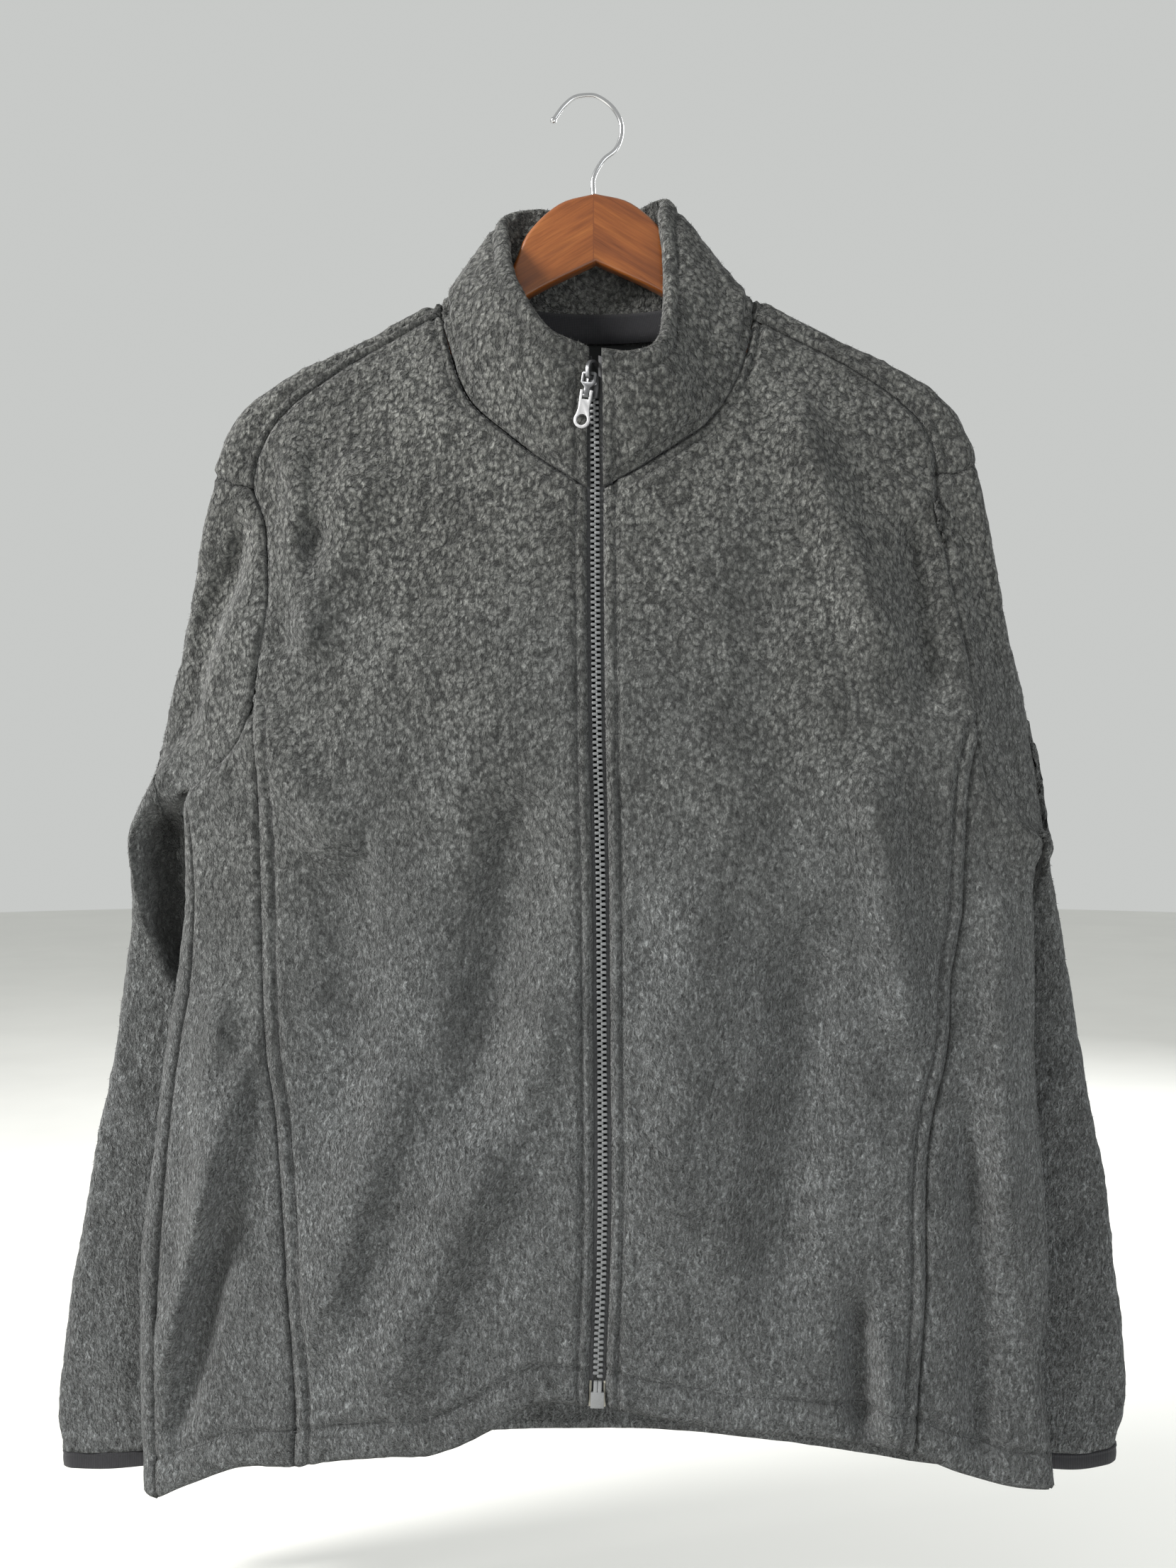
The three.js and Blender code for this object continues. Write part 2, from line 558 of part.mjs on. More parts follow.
function sleeveGrid(name) {
  const sleeve = SLEEVES[name];
  const line = seams[name];
  const depth = sleeveDepths(name);
  const outerTable = asTable(sample(xz(sleeve.outer), OUTLINE_STEPS));
  const innerTable = asTable(sample(xz(sleeve.inner), OUTLINE_STEPS));
  const outerAt = (z) => [lookup(outerTable, 'z', z, 'x'), z];
  const innerAt = (z) => [lookup(innerTable, 'z', z, 'x'), z];
  const edgeRows = (top, key, at) => {
    const list = [top];
    let from = top[1];
    sleeve.rings.forEach((ring, g) => {
      const count = SLEEVE_ROWS[g];
      for (let step = 1; step <= count; step += 1) list.push(at(mix(from, ring[key], step / count)));
      from = ring[key];
    });
    return list;
  };
  const apex = line.armBack[0];
  const underarm = line.armBack[STEPS.arm];
  const outer = edgeRows(apex, 'outerZ', outerAt);
  const inner = edgeRows(underarm, 'innerZ', innerAt);
  const half = (top, mids, side) => {
    const ends = side < 0 ? [innerAt, outerAt] : [outerAt, innerAt];
    const keys = side < 0 ? ['innerZ', 'outerZ'] : ['outerZ', 'innerZ'];
    const guides = sleeve.rings.map((ring, g) => sample(
      [ends[0](ring[keys[0]]), ...xz(mids[g]), ends[1](ring[keys[1]])], STEPS.arm));
    const [first, last] = side < 0 ? [inner, outer] : [outer, inner];
    const flat = fitSides(guided([top, ...guides], SLEEVE_ROWS), first, last);
    return flat.map((row) => row.map(([x, z]) => [x, depth(x, z, side), z]));
  };
  const armholeFront = join(reversed(line.armLower), reversed(line.armUpper), line.armTop);
  const frontHalf = half(armholeFront, sleeve.rings.map((ring) => ring.mid), -1);
  const backHalf = half(line.armBack, sleeve.backRings, 1);
  const grid = frontHalf.map((row, j) => [...row, ...backHalf[j].slice(1, -1)]);
  const armhole = [...armholeFront.map(front), ...line.armBack.slice(1, -1).map(back)];
  const shift = armhole.map((point, i) => point.map((value, axis) => value - grid[0][i][axis]));
  return grid.map((row, j) => row.map((point, i) => point.map((value, axis) => value
    + shift[i][axis] * (1 - Math.min(j / PIN_ROWS, 1)) ** 2)));
}

// The collar rises from the neck seam to its top edge.
function collarGrid() {
  const right = seams.right.neck.map(front);
  const left = seams.left.neck.map(front);
  const seam = join(reversed(right), neckBack.map(wrap), left);
  const top = spline(COLLAR_TOP.map((row) => [row.x, row.y, row.z]));
  const last = seam.length - 1;
  const topPoint = (share) => {
    let i = 0;
    while (i < COLLAR_TOP.length - 2 && share > COLLAR_TOP[i + 1].at) i += 1;
    return top.between(i, (share - COLLAR_TOP[i].at) / (COLLAR_TOP[i + 1].at - COLLAR_TOP[i].at));
  };
  const middle = [1, -8];
  return Array.from({ length: STEPS.collar + 1 }, (_, j) => seam.map((point, i) => {
    const rise = j / STEPS.collar;
    const high = topPoint(i / last);
    const out = lookup(COLLAR_BULGE, 'at', i / last, 'out') * Math.sin(Math.PI * rise);
    const flat = [(point[0] + high[0]) / 2 - middle[0], (point[1] + high[1]) / 2 - middle[1]];
    const level = point.map((value, axis) => mix(value, high[axis], rise));
    return moved(level, [...unit(flat), 0], out);
  }));
}

// Solids. Every wall is a grid of outer points and the same grid moved in along its normals.

const sub = (a, b) => a.map((value, i) => value - b[i]);
const moved = (point, direction, amount) => point.map((value, i) => value + direction[i] * amount);
const cross = (a, b) => [a[1] * b[2] - a[2] * b[1], a[2] * b[0] - a[0] * b[2], a[0] * b[1] - a[1] * b[0]];
const unit = (a) => {
  const size = Math.hypot(...a) || 1;
  return a.map((value) => value / size);
};
const shared = new Map();
const place = (point) => point.map((value) => Math.round(value * 20)).join(' ');

// Faces of one side of a grid; a ring's last column is joined to its first.
function quads(grid, ring) {
  const list = [];
  const columns = grid[0].length;
  for (let j = 0; j < grid.length - 1; j += 1) {
    for (let i = 0; i < columns - (ring ? 0 : 1); i += 1) {
      const next = (i + 1) % columns;
      list.push([[j, i], [j + 1, i], [j + 1, next], [j, next]]);
    }
  }
  return list;
}

// Adds a panel's faces to the normals at each place, so that panels on a seam share one normal.
function addNormals(panel) {
  panel.normals = panel.grid.map((row) => row.map(() => [0, 0, 0]));
  for (const [a, b, c, d] of quads(panel.grid, panel.ring)) {
    const [pa, pb, pc, pd] = [a, b, c, d].map(([j, i]) => panel.grid[j][i]);
    const face = cross(sub(pc, pa), sub(pd, pb)).map((value) => value * panel.turn);
    for (const [j, i] of [a, b, c, d]) panel.normals[j][i] = moved(panel.normals[j][i], face, 1);
  }
  panel.grid.forEach((row, j) => row.forEach((point, i) => {
    const key = place(point);
    shared.set(key, moved(shared.get(key) || [0, 0, 0], panel.normals[j][i], 1));
  }));
}

function shareNormals(panel) {
  panel.normals = panel.grid.map((row) => row.map((point) => unit(shared.get(place(point)))));
}

// Moves a panel's edges in by half the seam gap.
function inset(panel) {
  const { grid, ring } = panel;
  const lastRow = grid.length - 1;
  const lastColumn = grid[0].length - 1;
  return grid.map((row, j) => row.map((point, i) => {
    let result = point;
    if (j === 0) result = moved(result, unit(sub(grid[1][i], point)), SEAM_GAP / 2);
    if (j === lastRow) result = moved(result, unit(sub(grid[j - 1][i], point)), SEAM_GAP / 2);
    if (!ring && i === 0) result = moved(result, unit(sub(row[1], point)), SEAM_GAP / 2);
    if (!ring && i === lastColumn) result = moved(result, unit(sub(row[i - 1], point)), SEAM_GAP / 2);
    return result;
  }));
}

const EDGE_TIE = 0.01;

// A closed wall between two layers of one grid, at two distances out along the normals.
function wall(grid, normals, ring, turn, outer, inner) {
  const rowCount = grid.length;
  const columns = grid[0].length;
  const positions = [];
  for (const reach of [outer, inner]) {
    grid.forEach((row, j) => row.forEach((point, i) => {
      positions.push(...moved(point, normals[j][i], reach));
    }));
  }
  const layer = rowCount * columns;
  const at = (j, i, deep) => j * columns + i + (deep ? layer : 0);
  const index = [];
  const quad = (a, b, c, d) => {
    if (turn > 0) index.push(a, b, c, a, c, d);
    else index.push(a, c, b, a, d, c);
  };
  for (const [a, b, c, d] of quads(grid, ring)) {
    quad(at(...a), at(...b), at(...c), at(...d));
    quad(at(...a, 1), at(...d, 1), at(...c, 1), at(...b, 1));
  }
  // An edge face splits from its lower outer corner, so that both sides of a seam split alike.
  const height = (corner) => positions[3 * corner + 2] + EDGE_TIE * positions[3 * corner];
  const edge = (a, b) => {
    if (height(a) < height(b)) quad(a, b, b + layer, a + layer);
    else quad(b, b + layer, a + layer, a);
  };
  const across = ring ? columns : columns - 1;
  for (let i = 0; i < across; i += 1) {
    const next = (i + 1) % columns;
    edge(at(0, i), at(0, next));
    edge(at(rowCount - 1, next), at(rowCount - 1, i));
  }
  if (!ring) {
    for (let j = 0; j < rowCount - 1; j += 1) {
      edge(at(j + 1, 0), at(j, 0));
      edge(at(j, columns - 1), at(j + 1, columns - 1));
    }
  }
  const geometry = new THREE.BufferGeometry();
  geometry.setAttribute('position', new THREE.Float32BufferAttribute(positions, 3));
  geometry.setIndex(index);
  return geometry;
}

const jacket = new THREE.Group();
const finish = (colour, roughness = 0.95, metalness = 0) => new THREE.MeshStandardMaterial(
  { color: colour, roughness, metalness });

function add(name, geometry, material) {
  const mesh = new THREE.Mesh(geometry, material);
  mesh.name = name;
  jacket.add(mesh);
}

const fleece = finish(COLOURS.fleece);
const panels = {
  front_right: { grid: frontPanel('right'), turn: -1 },
  front_left: { grid: frontPanel('left'), turn: 1 },
  side_front_right: { grid: sidePanel('right'), turn: -1 },
  side_front_left: { grid: sidePanel('left'), turn: 1 },
  back: { grid: backPanel(), turn: -1 },
  sleeve_right: { grid: sleeveGrid('right'), turn: -1, ring: true },
  sleeve_left: { grid: sleeveGrid('left'), turn: 1, ring: true },
  collar: { grid: collarGrid(), turn: 1 },
};
Object.values(panels).forEach(addNormals);
Object.values(panels).forEach(shareNormals);
for (const [name, panel] of Object.entries(panels)) {
  add(name, wall(inset(panel), panel.normals, panel.ring, panel.turn, 0, -FLEECE), fleece);
}

// Cuff bindings carry on from the last ring of each sleeve.
for (const name of ['right', 'left']) {
  const panel = panels[`sleeve_${name}`];
  const last = panel.grid[panel.grid.length - 1];
  const normals = panel.normals[panel.grid.length - 1];
  const hem = [0, 0.5, 1].map((share) => last.map(
    ([x, y, z]) => [x, y, z - SEAM_GAP - share * CUFF_HEIGHT]));
  const outer = -BINDING_STEP;
  const binding = wall(hem, [normals, normals, normals], true, panel.turn, outer, outer - BINDING);
  add(`cuff_binding_${name}`, binding, finish(COLOURS.binding));
}

// Layers that lie inside the fleece are parts of its grids, moved in.
function layer(panel, cells, thick) {
  const cut = (grid) => grid.slice(cells.fromRow, cells.toRow + 1)
    .map((row) => row.slice(cells.fromColumn, cells.toColumn + 1));
  const outer = -FLEECE - SEAM_GAP;
  return wall(cut(panel.grid), cut(panel.normals), false, panel.turn, outer, outer - thick);
}

const POCKET = { fromRow: 11, toRow: 18, fromColumn: 4, toColumn: 9 };
for (const name of ['right', 'left']) {
  const bag = layer(panels[`front_${name}`], POCKET, THIN_CLOTH * 2);
  add(`pocket_bag_${name}`, bag, finish(COLOURS.bag));
}
const FACING = { fromRow: 1, toRow: CAP_ROWS + 3, fromColumn: STEPS.front + 2, toColumn: STEPS.front + 6 };
add('back_facing', layer(panels.back, FACING, THIN_CLOTH), finish(COLOURS.facing, 0.6));
const NECK_TAPE = { fromRow: 0, toRow: 1, fromColumn: STEPS.neckFront + 2, toColumn: STEPS.neckFront + 6 };
add('neck_tape', layer(panels.collar, NECK_TAPE, THIN_CLOTH), finish(COLOURS.binding));

// The zip's frame at a height: the middle of the chain, the way across, up along the zip and out.
const readEdge = (panel, j, i) => ({ point: panel.grid[j][i], normal: panel.normals[j][i] });

function zipEdge(name) {
  const { collar } = panels;
  const body = panels[`front_${name}`];
  const last = collar.grid[0].length - 1;
  const [edge, next] = name === 'right' ? [0, 1] : [last, last - 1];
  const list = [];
  for (let j = STEPS.collar; j >= 0; j -= 1) {
    list.push([readEdge(collar, j, edge), readEdge(collar, j, next)]);
  }
  for (let j = STEPS.neckFront + 1; j < body.grid.length; j += 1) {
    list.push([readEdge(body, j, 0), readEdge(body, j, 1)]);
  }
  return list;
}

const zipEdges = { right: zipEdge('right'), left: zipEdge('left') };
const average = (a, b) => a.map((value, i) => (value + b[i]) / 2);
const stations = zipEdges.right.map(([right], j) => {
  const [left] = zipEdges.left[j];
  return { point: average(right.point, left.point), normal: unit(average(right.normal, left.normal)) };
});

const twistAt = (z) => TWIST.slider * smooth((z - TWIST.from) / (TWIST.to - TWIST.from));

function zipFrame(z, turned = twistAt(z)) {
  let j = 1;
  while (j < stations.length - 1 && stations[j].point[2] > z) j += 1;
  const [above, below] = [stations[j - 1], stations[j]];
  const f = clamp((above.point[2] - z) / (above.point[2] - below.point[2]), 0, 1);
  const point = above.point.map((value, axis) => mix(value, below.point[axis], f));
  const up = unit(sub(above.point, below.point));
  const normal = unit(above.normal.map((value, axis) => mix(value, below.normal[axis], f)));
  const side = unit(cross(up, normal));
  const across = moved(side.map((value) => value * Math.cos(turned)), normal, Math.sin(turned));
  const out = unit(cross(across, up));
  const origin = moved(point, normal, ZIP.middle);
  return { origin, across, up, out, at: (b, s, n) => moved(moved(moved(origin, across, b), up, s), out, n) };
}

const zipRows = stations.map(({ point }) => point[2]);
const chainTop = SLIDER.z - SLIDER.reach - SEAM_GAP;
const chainRows = [chainTop, ...zipRows.filter((z) => z < chainTop - 1 && z > ZIP.chainEnd + 1),
  ZIP.chainEnd];
const chainFrames = chainRows.map((z) => zipFrame(z));
const chainGrid = chainFrames.map((frame) => [-1, 1].map(
  (side) => frame.at(side * ZIP.chainHalf, 0, -ZIP.middle)));
const chainNormals = chainFrames.map((frame) => [frame.out, frame.out]);
const chain = wall(chainGrid, chainNormals, false, 1, ZIP.chainFront, ZIP.chainBack);
add('zip_chain', chain, finish(COLOURS.teeth, 0.5));

for (const name of ['right', 'left']) {
  const side = name === 'right' ? -1 : 1;
  const grid = [];
  const normals = [];
  zipEdges[name].forEach(([edge, next], j) => {
    const frame = zipFrame(zipRows[j]);
    const cover = ZIP.tapeCover / distance(edge.point, next.point);
    const between = (a, b) => a.map((value, axis) => mix(value, b[axis], cover));
    grid.push([frame.at(side * ZIP.tapeInner, 0, -ZIP.middle), edge.point, between(edge.point, next.point)]);
    normals.push([frame.out, edge.normal, unit(between(edge.normal, next.normal))]);
  });
  const tape = wall(grid, normals, false, side, ZIP.tapeFront, ZIP.tapeBack);
  add(`zip_tape_${name}`, tape, finish(COLOURS.tape));
}

// Small hard pieces are drawn in their own frame, seen from the front, and joined.

const wasm = await Module();
wasm.setup();

function asSolid(geometry) {
  const bare = geometry.clone();
  bare.deleteAttribute('normal');
  bare.deleteAttribute('uv');
  const merged = mergeVertices(bare, 1e-4);
  return new wasm.Manifold(new wasm.Mesh({ numProp: 3, vertProperties: merged.attributes.position.array,
    triVerts: Uint32Array.from(merged.index.array) }));
}

function asGeometry(solid) {
  const { vertProperties, triVerts } = solid.getMesh();
  const geometry = new THREE.BufferGeometry();
  geometry.setAttribute('position', new THREE.Float32BufferAttribute(vertProperties, 3));
  geometry.setIndex([...triVerts]);
  return geometry;
}

const joined = (geometries, cuts = []) => {
  const whole = geometries.map(asSolid).reduce((total, solid) => total.add(solid));
  return asGeometry(cuts.map(asSolid).reduce((total, solid) => total.subtract(solid), whole));
};
const block = (x0, x1, y0, y1, z0, z1) => new THREE.BoxGeometry(x1 - x0, y1 - y0, z1 - z0)
  .translate((x0 + x1) / 2, (y0 + y1) / 2, (z0 + z1) / 2);
const plate = (outline, from, to, holes = []) => {
  const shape = new THREE.Shape(outline.map(([x, y]) => new THREE.Vector2(x, y)));
  shape.holes = holes.map((hole) => new THREE.Path(hole.map(([x, y]) => new THREE.Vector2(x, y))));
  return new THREE.ExtrudeGeometry(shape, { depth: to - from, bevelEnabled: false }).translate(0, 0, from);
};
const arc = (x, y, radius, from, to, steps, tall = radius) => Array.from({ length: steps + 1 }, (_, i) => {
  const angle = THREE.MathUtils.degToRad(mix(from, to, i / steps));
  return [x + radius * Math.cos(angle), y + tall * Math.sin(angle)];
});
const bothSides = (list) => [...list, ...reversed(list).map(([x, y]) => [-x, y])];
const BAR_SIDES = 12;
const bar = (radius, half) => new THREE.CylinderGeometry(radius, radius, 2 * half, BAR_SIDES)
  .rotateZ(Math.PI / 2);
const asMatrix = ({ origin, across, up, out }) => new THREE.Matrix4()
  .makeBasis(new THREE.Vector3(...across), new THREE.Vector3(...up), new THREE.Vector3(...out))
  .setPosition(...origin);

const boxFrame = zipFrame(BOX.z);
const pins = [-1, 1].map((side) => {
  const edges = [side * BOX.pinGap, side * (BOX.pinGap + 2 * BOX.pinHalf)].sort((a, b) => a - b);
  return block(...edges, -BOX.pinRoot, BOX.pinTop - BOX.z, BOX.back - ZIP.middle, -ZIP.middle);
});
const boxBlock = block(-BOX.half, BOX.half, -BOX.height, 0, BOX.back - ZIP.middle, BOX.front - ZIP.middle);
add('zip_box', joined([boxBlock, ...pins]).applyMatrix4(asMatrix(boxFrame)), finish(COLOURS.teeth, 0.4));

// The slider: two plates, the wedge between them, and a rail that runs over its top from front to back.
const sliderFrame = zipFrame(SLIDER.z);
const plateLine = bothSides([[SLIDER.foot, -SLIDER.reach], [SLIDER.half, -1],
  [SLIDER.half, SLIDER.reach - SLIDER.corner], [SLIDER.half - SLIDER.corner, SLIDER.reach]]);
const railMiddle = (SLIDER.railFront + SLIDER.railBack) / 2;
const railDeep = (SLIDER.railFront - SLIDER.railBack) / 2;
const railHigh = SLIDER.railTop - SLIDER.railRise;
const RAIL_STEPS = 10;
const railOver = (within, from, to) => arc(railMiddle, SLIDER.railRise, railDeep - within, from, to,
  RAIL_STEPS, railHigh - within);
const railLine = [[SLIDER.plateTo - 1, SLIDER.railFoot], [SLIDER.railFront - 1, SLIDER.railFoot],
  [SLIDER.railFront, SLIDER.railFoot + 1], ...railOver(0, 0, 180), [SLIDER.backFrom, SLIDER.railFoot - 2],
  [SLIDER.backFrom + 1, SLIDER.railFoot], ...railOver(SLIDER.railThick, 180, 0),
  [SLIDER.railFront - SLIDER.railThick, SLIDER.railFoot + SLIDER.railThick],
  [SLIDER.plateTo - 1, SLIDER.railFoot + SLIDER.railThick]];
const rail = plate(railLine, -SLIDER.railHalf, SLIDER.railHalf).rotateY(-Math.PI / 2);
const core = block(-SLIDER.coreHalf, SLIDER.coreHalf, -SLIDER.reach, SLIDER.reach, -SLIDER.coreDeep,
  SLIDER.coreDeep);
const slider = joined([plate(plateLine, SLIDER.plateFrom, SLIDER.plateTo),
  plate(plateLine, SLIDER.backFrom, SLIDER.backTo), core, rail]);
add('zip_slider', slider.applyMatrix4(asMatrix(sliderFrame)), finish(COLOURS.slider, 0.35, 0.8));

// The pull hangs straight down from the rail, and leans a little to the wearer's right.
const untwisted = zipFrame(SLIDER.z, PULL.twist);
const pullOut = unit([untwisted.out[0], untwisted.out[1], 0]);
const pullSide = cross([0, 0, 1], pullOut);
const pullLevel = pullSide.map((value) => value * Math.cos(PULL.lean));
const pullAcross = unit(moved(pullLevel, [0, 0, 1], -Math.sin(PULL.lean)));
const pullUp = cross(pullOut, pullAcross);
const linkFrame = { origin: sliderFrame.at(0, PULL.rise, PULL.out), across: pullAcross, up: pullUp,
  out: pullOut };
const tabFrame = { ...linkFrame, origin: moved(linkFrame.origin, pullUp, -PULL.length) };

const linkLine = bothSides([[PULL.headHalf - PULL.corner, PULL.bar], [PULL.headHalf, PULL.bar - PULL.corner],
  [PULL.headHalf, -PULL.headReach + PULL.corner], [PULL.shaftHalf, -PULL.shaftTop],
  [PULL.shaftHalf, -PULL.length]]);
const windowLine = bothSides([[PULL.windowHalf, -PULL.windowReach], [PULL.windowHalf, -PULL.bar]]);
const linkPlate = plate(linkLine, -PULL.plate / 2, PULL.plate / 2, [windowLine]);
const barrel = bar(PULL.barrel, PULL.shaftHalf).translate(0, -PULL.length, 0);
const bore = bar(PULL.bore, PULL.headHalf).translate(0, -PULL.length, 0);
const link = joined([linkPlate, barrel], [bore]);
add('pull_link', link.applyMatrix4(asMatrix(linkFrame)), finish(COLOURS.slider, 0.35, 0.8));

const ringLine = arc(0, -TAB.ringAt, TAB.ringRadius, 35, -90, 8);
const tabLine = bothSides([[TAB.slotHalf, -TAB.slotFoot], [TAB.slotHalf, TAB.top], [TAB.half, TAB.top],
  [TAB.neckHalf, -TAB.neck], ...ringLine.slice(0, -1)]);
const tabWhole = [...tabLine.slice(0, tabLine.length / 2), ringLine[ringLine.length - 1],
  ...tabLine.slice(tabLine.length / 2)];
const tabHole = arc(0, -TAB.ringAt, TAB.holeRadius, 0, 337.5, 15);
const tab = joined([plate(tabWhole, -TAB.plate / 2, TAB.plate / 2, [tabHole]),
  bar(TAB.pin, TAB.slotHalf + TAB.pinRoot)]);
add('pull_tab', tab.applyMatrix4(asMatrix(tabFrame)), finish(COLOURS.pull, 0.5, 0.6));

// The hanger: a bent wooden arm with eased edges and a wire hook seated in its top.
const hangerSide = [...sample(xz(HANGER.top), 18), ...sample(xz(HANGER.bottom), 10).slice(0, -1)];
const foot = HANGER.bottom[HANGER.bottom.length - 1];
const hangerLine = [...hangerSide, [foot.x, foot.z],
  ...reversed(hangerSide.slice(1)).map(([x, z]) => [-x, z])];
const arm = new THREE.ExtrudeGeometry(new THREE.Shape(hangerLine.map(([x, z]) => new THREE.Vector2(x, z))), {
  depth: 2 * (HANGER.half - HANGER.chamfer),
  bevelThickness: HANGER.chamfer,
  bevelSize: HANGER.chamfer,
  bevelOffset: -HANGER.chamfer,
  bevelSegments: 2,
}).translate(0, 0, -(HANGER.half - HANGER.chamfer)).rotateX(Math.PI / 2).rotateY(-HANGER.tilt);
const hookBore = HOOK.wire + SEAM_GAP;
const hookHole = new THREE.CylinderGeometry(hookBore, hookBore, 2 * HOOK.seat + 2, 16)
  .rotateX(Math.PI / 2)
  .translate(0, 0, HANGER.top[0].z);
add('hanger_wood', joined([arm], [hookHole]), finish(COLOURS.wood, 0.35));

const hookPoints = HOOK.path.map(({ x, z }) => new THREE.Vector3(x, 0, z));
const hookLine = new THREE.CatmullRomCurve3(hookPoints, false, 'centripetal');
const wireSection = new THREE.Shape(arc(0, 0, HOOK.wire, 0, 324, 9).map(([x, y]) => new THREE.Vector2(x, y)));
const wire = new THREE.ExtrudeGeometry(wireSection, { steps: 40, extrudePath: hookLine });
const hookTip = HOOK.path[HOOK.path.length - 1];
const ball = new THREE.SphereGeometry(HOOK.tip, 10, 6).translate(hookTip.x, 0, hookTip.z);
add('hanger_hook', joined([wire, ball]), finish(COLOURS.steel, 0.15, 1));

export default jacket;
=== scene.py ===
"""A fleece zip jacket with a stand collar on a wooden hanger, hung from the inner top of its hook.

Right and left are the wearer's. Tables and surfaces are in millimetres, in the CAD frame, and every mesh
is made in metres.
"""
import math

import bmesh
import bpy
import numpy as np
from bpy.props import FloatProperty, FloatVectorProperty, PointerProperty
from mathutils import Matrix, Vector, kdtree
from mathutils.bvhtree import BVHTree


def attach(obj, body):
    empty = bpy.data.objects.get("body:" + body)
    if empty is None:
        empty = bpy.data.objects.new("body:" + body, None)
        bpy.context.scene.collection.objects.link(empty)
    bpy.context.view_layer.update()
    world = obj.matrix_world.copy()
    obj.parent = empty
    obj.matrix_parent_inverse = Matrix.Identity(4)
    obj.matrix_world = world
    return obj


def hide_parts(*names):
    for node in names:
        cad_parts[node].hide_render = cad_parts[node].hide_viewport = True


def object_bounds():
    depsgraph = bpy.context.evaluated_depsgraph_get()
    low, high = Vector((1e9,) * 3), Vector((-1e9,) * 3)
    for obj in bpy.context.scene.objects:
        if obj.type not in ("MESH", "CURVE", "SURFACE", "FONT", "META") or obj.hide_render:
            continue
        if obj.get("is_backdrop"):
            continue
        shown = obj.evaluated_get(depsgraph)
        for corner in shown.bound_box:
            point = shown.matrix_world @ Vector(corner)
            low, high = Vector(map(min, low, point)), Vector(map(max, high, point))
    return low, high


bl_info = {
    "name": "Fleece jacket on a hanger",
    "version": (1, 0, 0),
    "blender": (4, 5, 0),
    "location": "View3D > Sidebar > Jacket",
    "description": "Builds the cloth, the zip, the hanger and the studio for a hanging fleece jacket",
    "category": "Add Mesh",
}

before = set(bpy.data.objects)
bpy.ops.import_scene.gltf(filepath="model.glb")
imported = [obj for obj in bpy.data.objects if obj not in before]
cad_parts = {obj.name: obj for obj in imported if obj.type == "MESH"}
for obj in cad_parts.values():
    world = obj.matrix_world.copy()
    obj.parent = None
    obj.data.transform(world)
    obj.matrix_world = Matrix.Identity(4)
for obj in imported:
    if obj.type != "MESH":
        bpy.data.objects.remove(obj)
CAD_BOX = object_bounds()

MM = 0.001
FLEECE_UNDER = 2.8
EDGE_HALF = 9.0
EDGE_RADIUS = 10.0
UNROLL = 40.0
SIDE_DEPTH = -12.0
FRONT_BULGE = 24.0
FRONT_FLATNESS = 2.4
BACK_BULGE = 17.0
DRAPE_DROP = 230.0
APEX_Z = -235.0
UNDERARM_Z = -436.0
NECK_HALF = 94.0
NECK_TOP = -120.0
ZIP_EDGE = 5.0
FAR_BELOW = -2000.0
FOLD_GAIN = 2.4
FOLD_END = 0.15
RELAX_TIMES = 10
OUTLINE_STEPS = 120
ROLL_STEPS = 400
ON_LINE = 1e-6
TINY = 1e-9
DOUBLES = 1e-6
SIDES = (("right", -1), ("left", 1))

# How many steps each seam has at the coarsest, and how many times finer each panel is, across and down.
STEPS = {"front": 10, "side": 3, "neck_back": 8, "neck_front": 5, "arm_upper": 5, "arm_top": 2, "skirt": 14,
         "collar": 6, "arm": 10}
CAP_ROWS = 4
BACK_HOLD = 6
SLEEVE_ROWS = (4, 4, 11)
PIN_ROWS = 5
FINE = {"front": (12, 14), "side": (11, 13), "back": (5, 6), "sleeve": (7, 11), "collar": (15, 5)}
LINE_STEPS = {"zip": 800, "seam": 500, "arm_back": 400, "hem": 260, "side_hem": 120, "neck_back": 40}

# Outlines, seen from the front: x and z from the neck over the shoulder and down to the hem.
OUTLINE = {
    "right": [(-94, -128), (-111, -135), (-139, -149), (-166, -164), (-186, -173), (-206, -185),
              (-218, -195), (-227, -208), (-233, -224), (-236, -236), (-243, -300), (-250, -380),
              (-253, -436), (-252, -487), (-254, -529), (-258, -556), (-263, -590), (-270, -647),
              (-277, -700), (-279, -745), (-279, -792), (-277, -866)],
    "left": [(98, -127), (116, -133), (132, -141), (163, -157), (193, -172), (211, -183), (223, -195),
             (231, -207), (236, -219), (239, -229), (250, -300), (266, -380), (279, -462), (274, -484),
             (273, -520), (273, -578), (274, -619), (279, -680), (282, -731), (279, -764), (276, -782),
             (279, -806), (285, -862)],
}

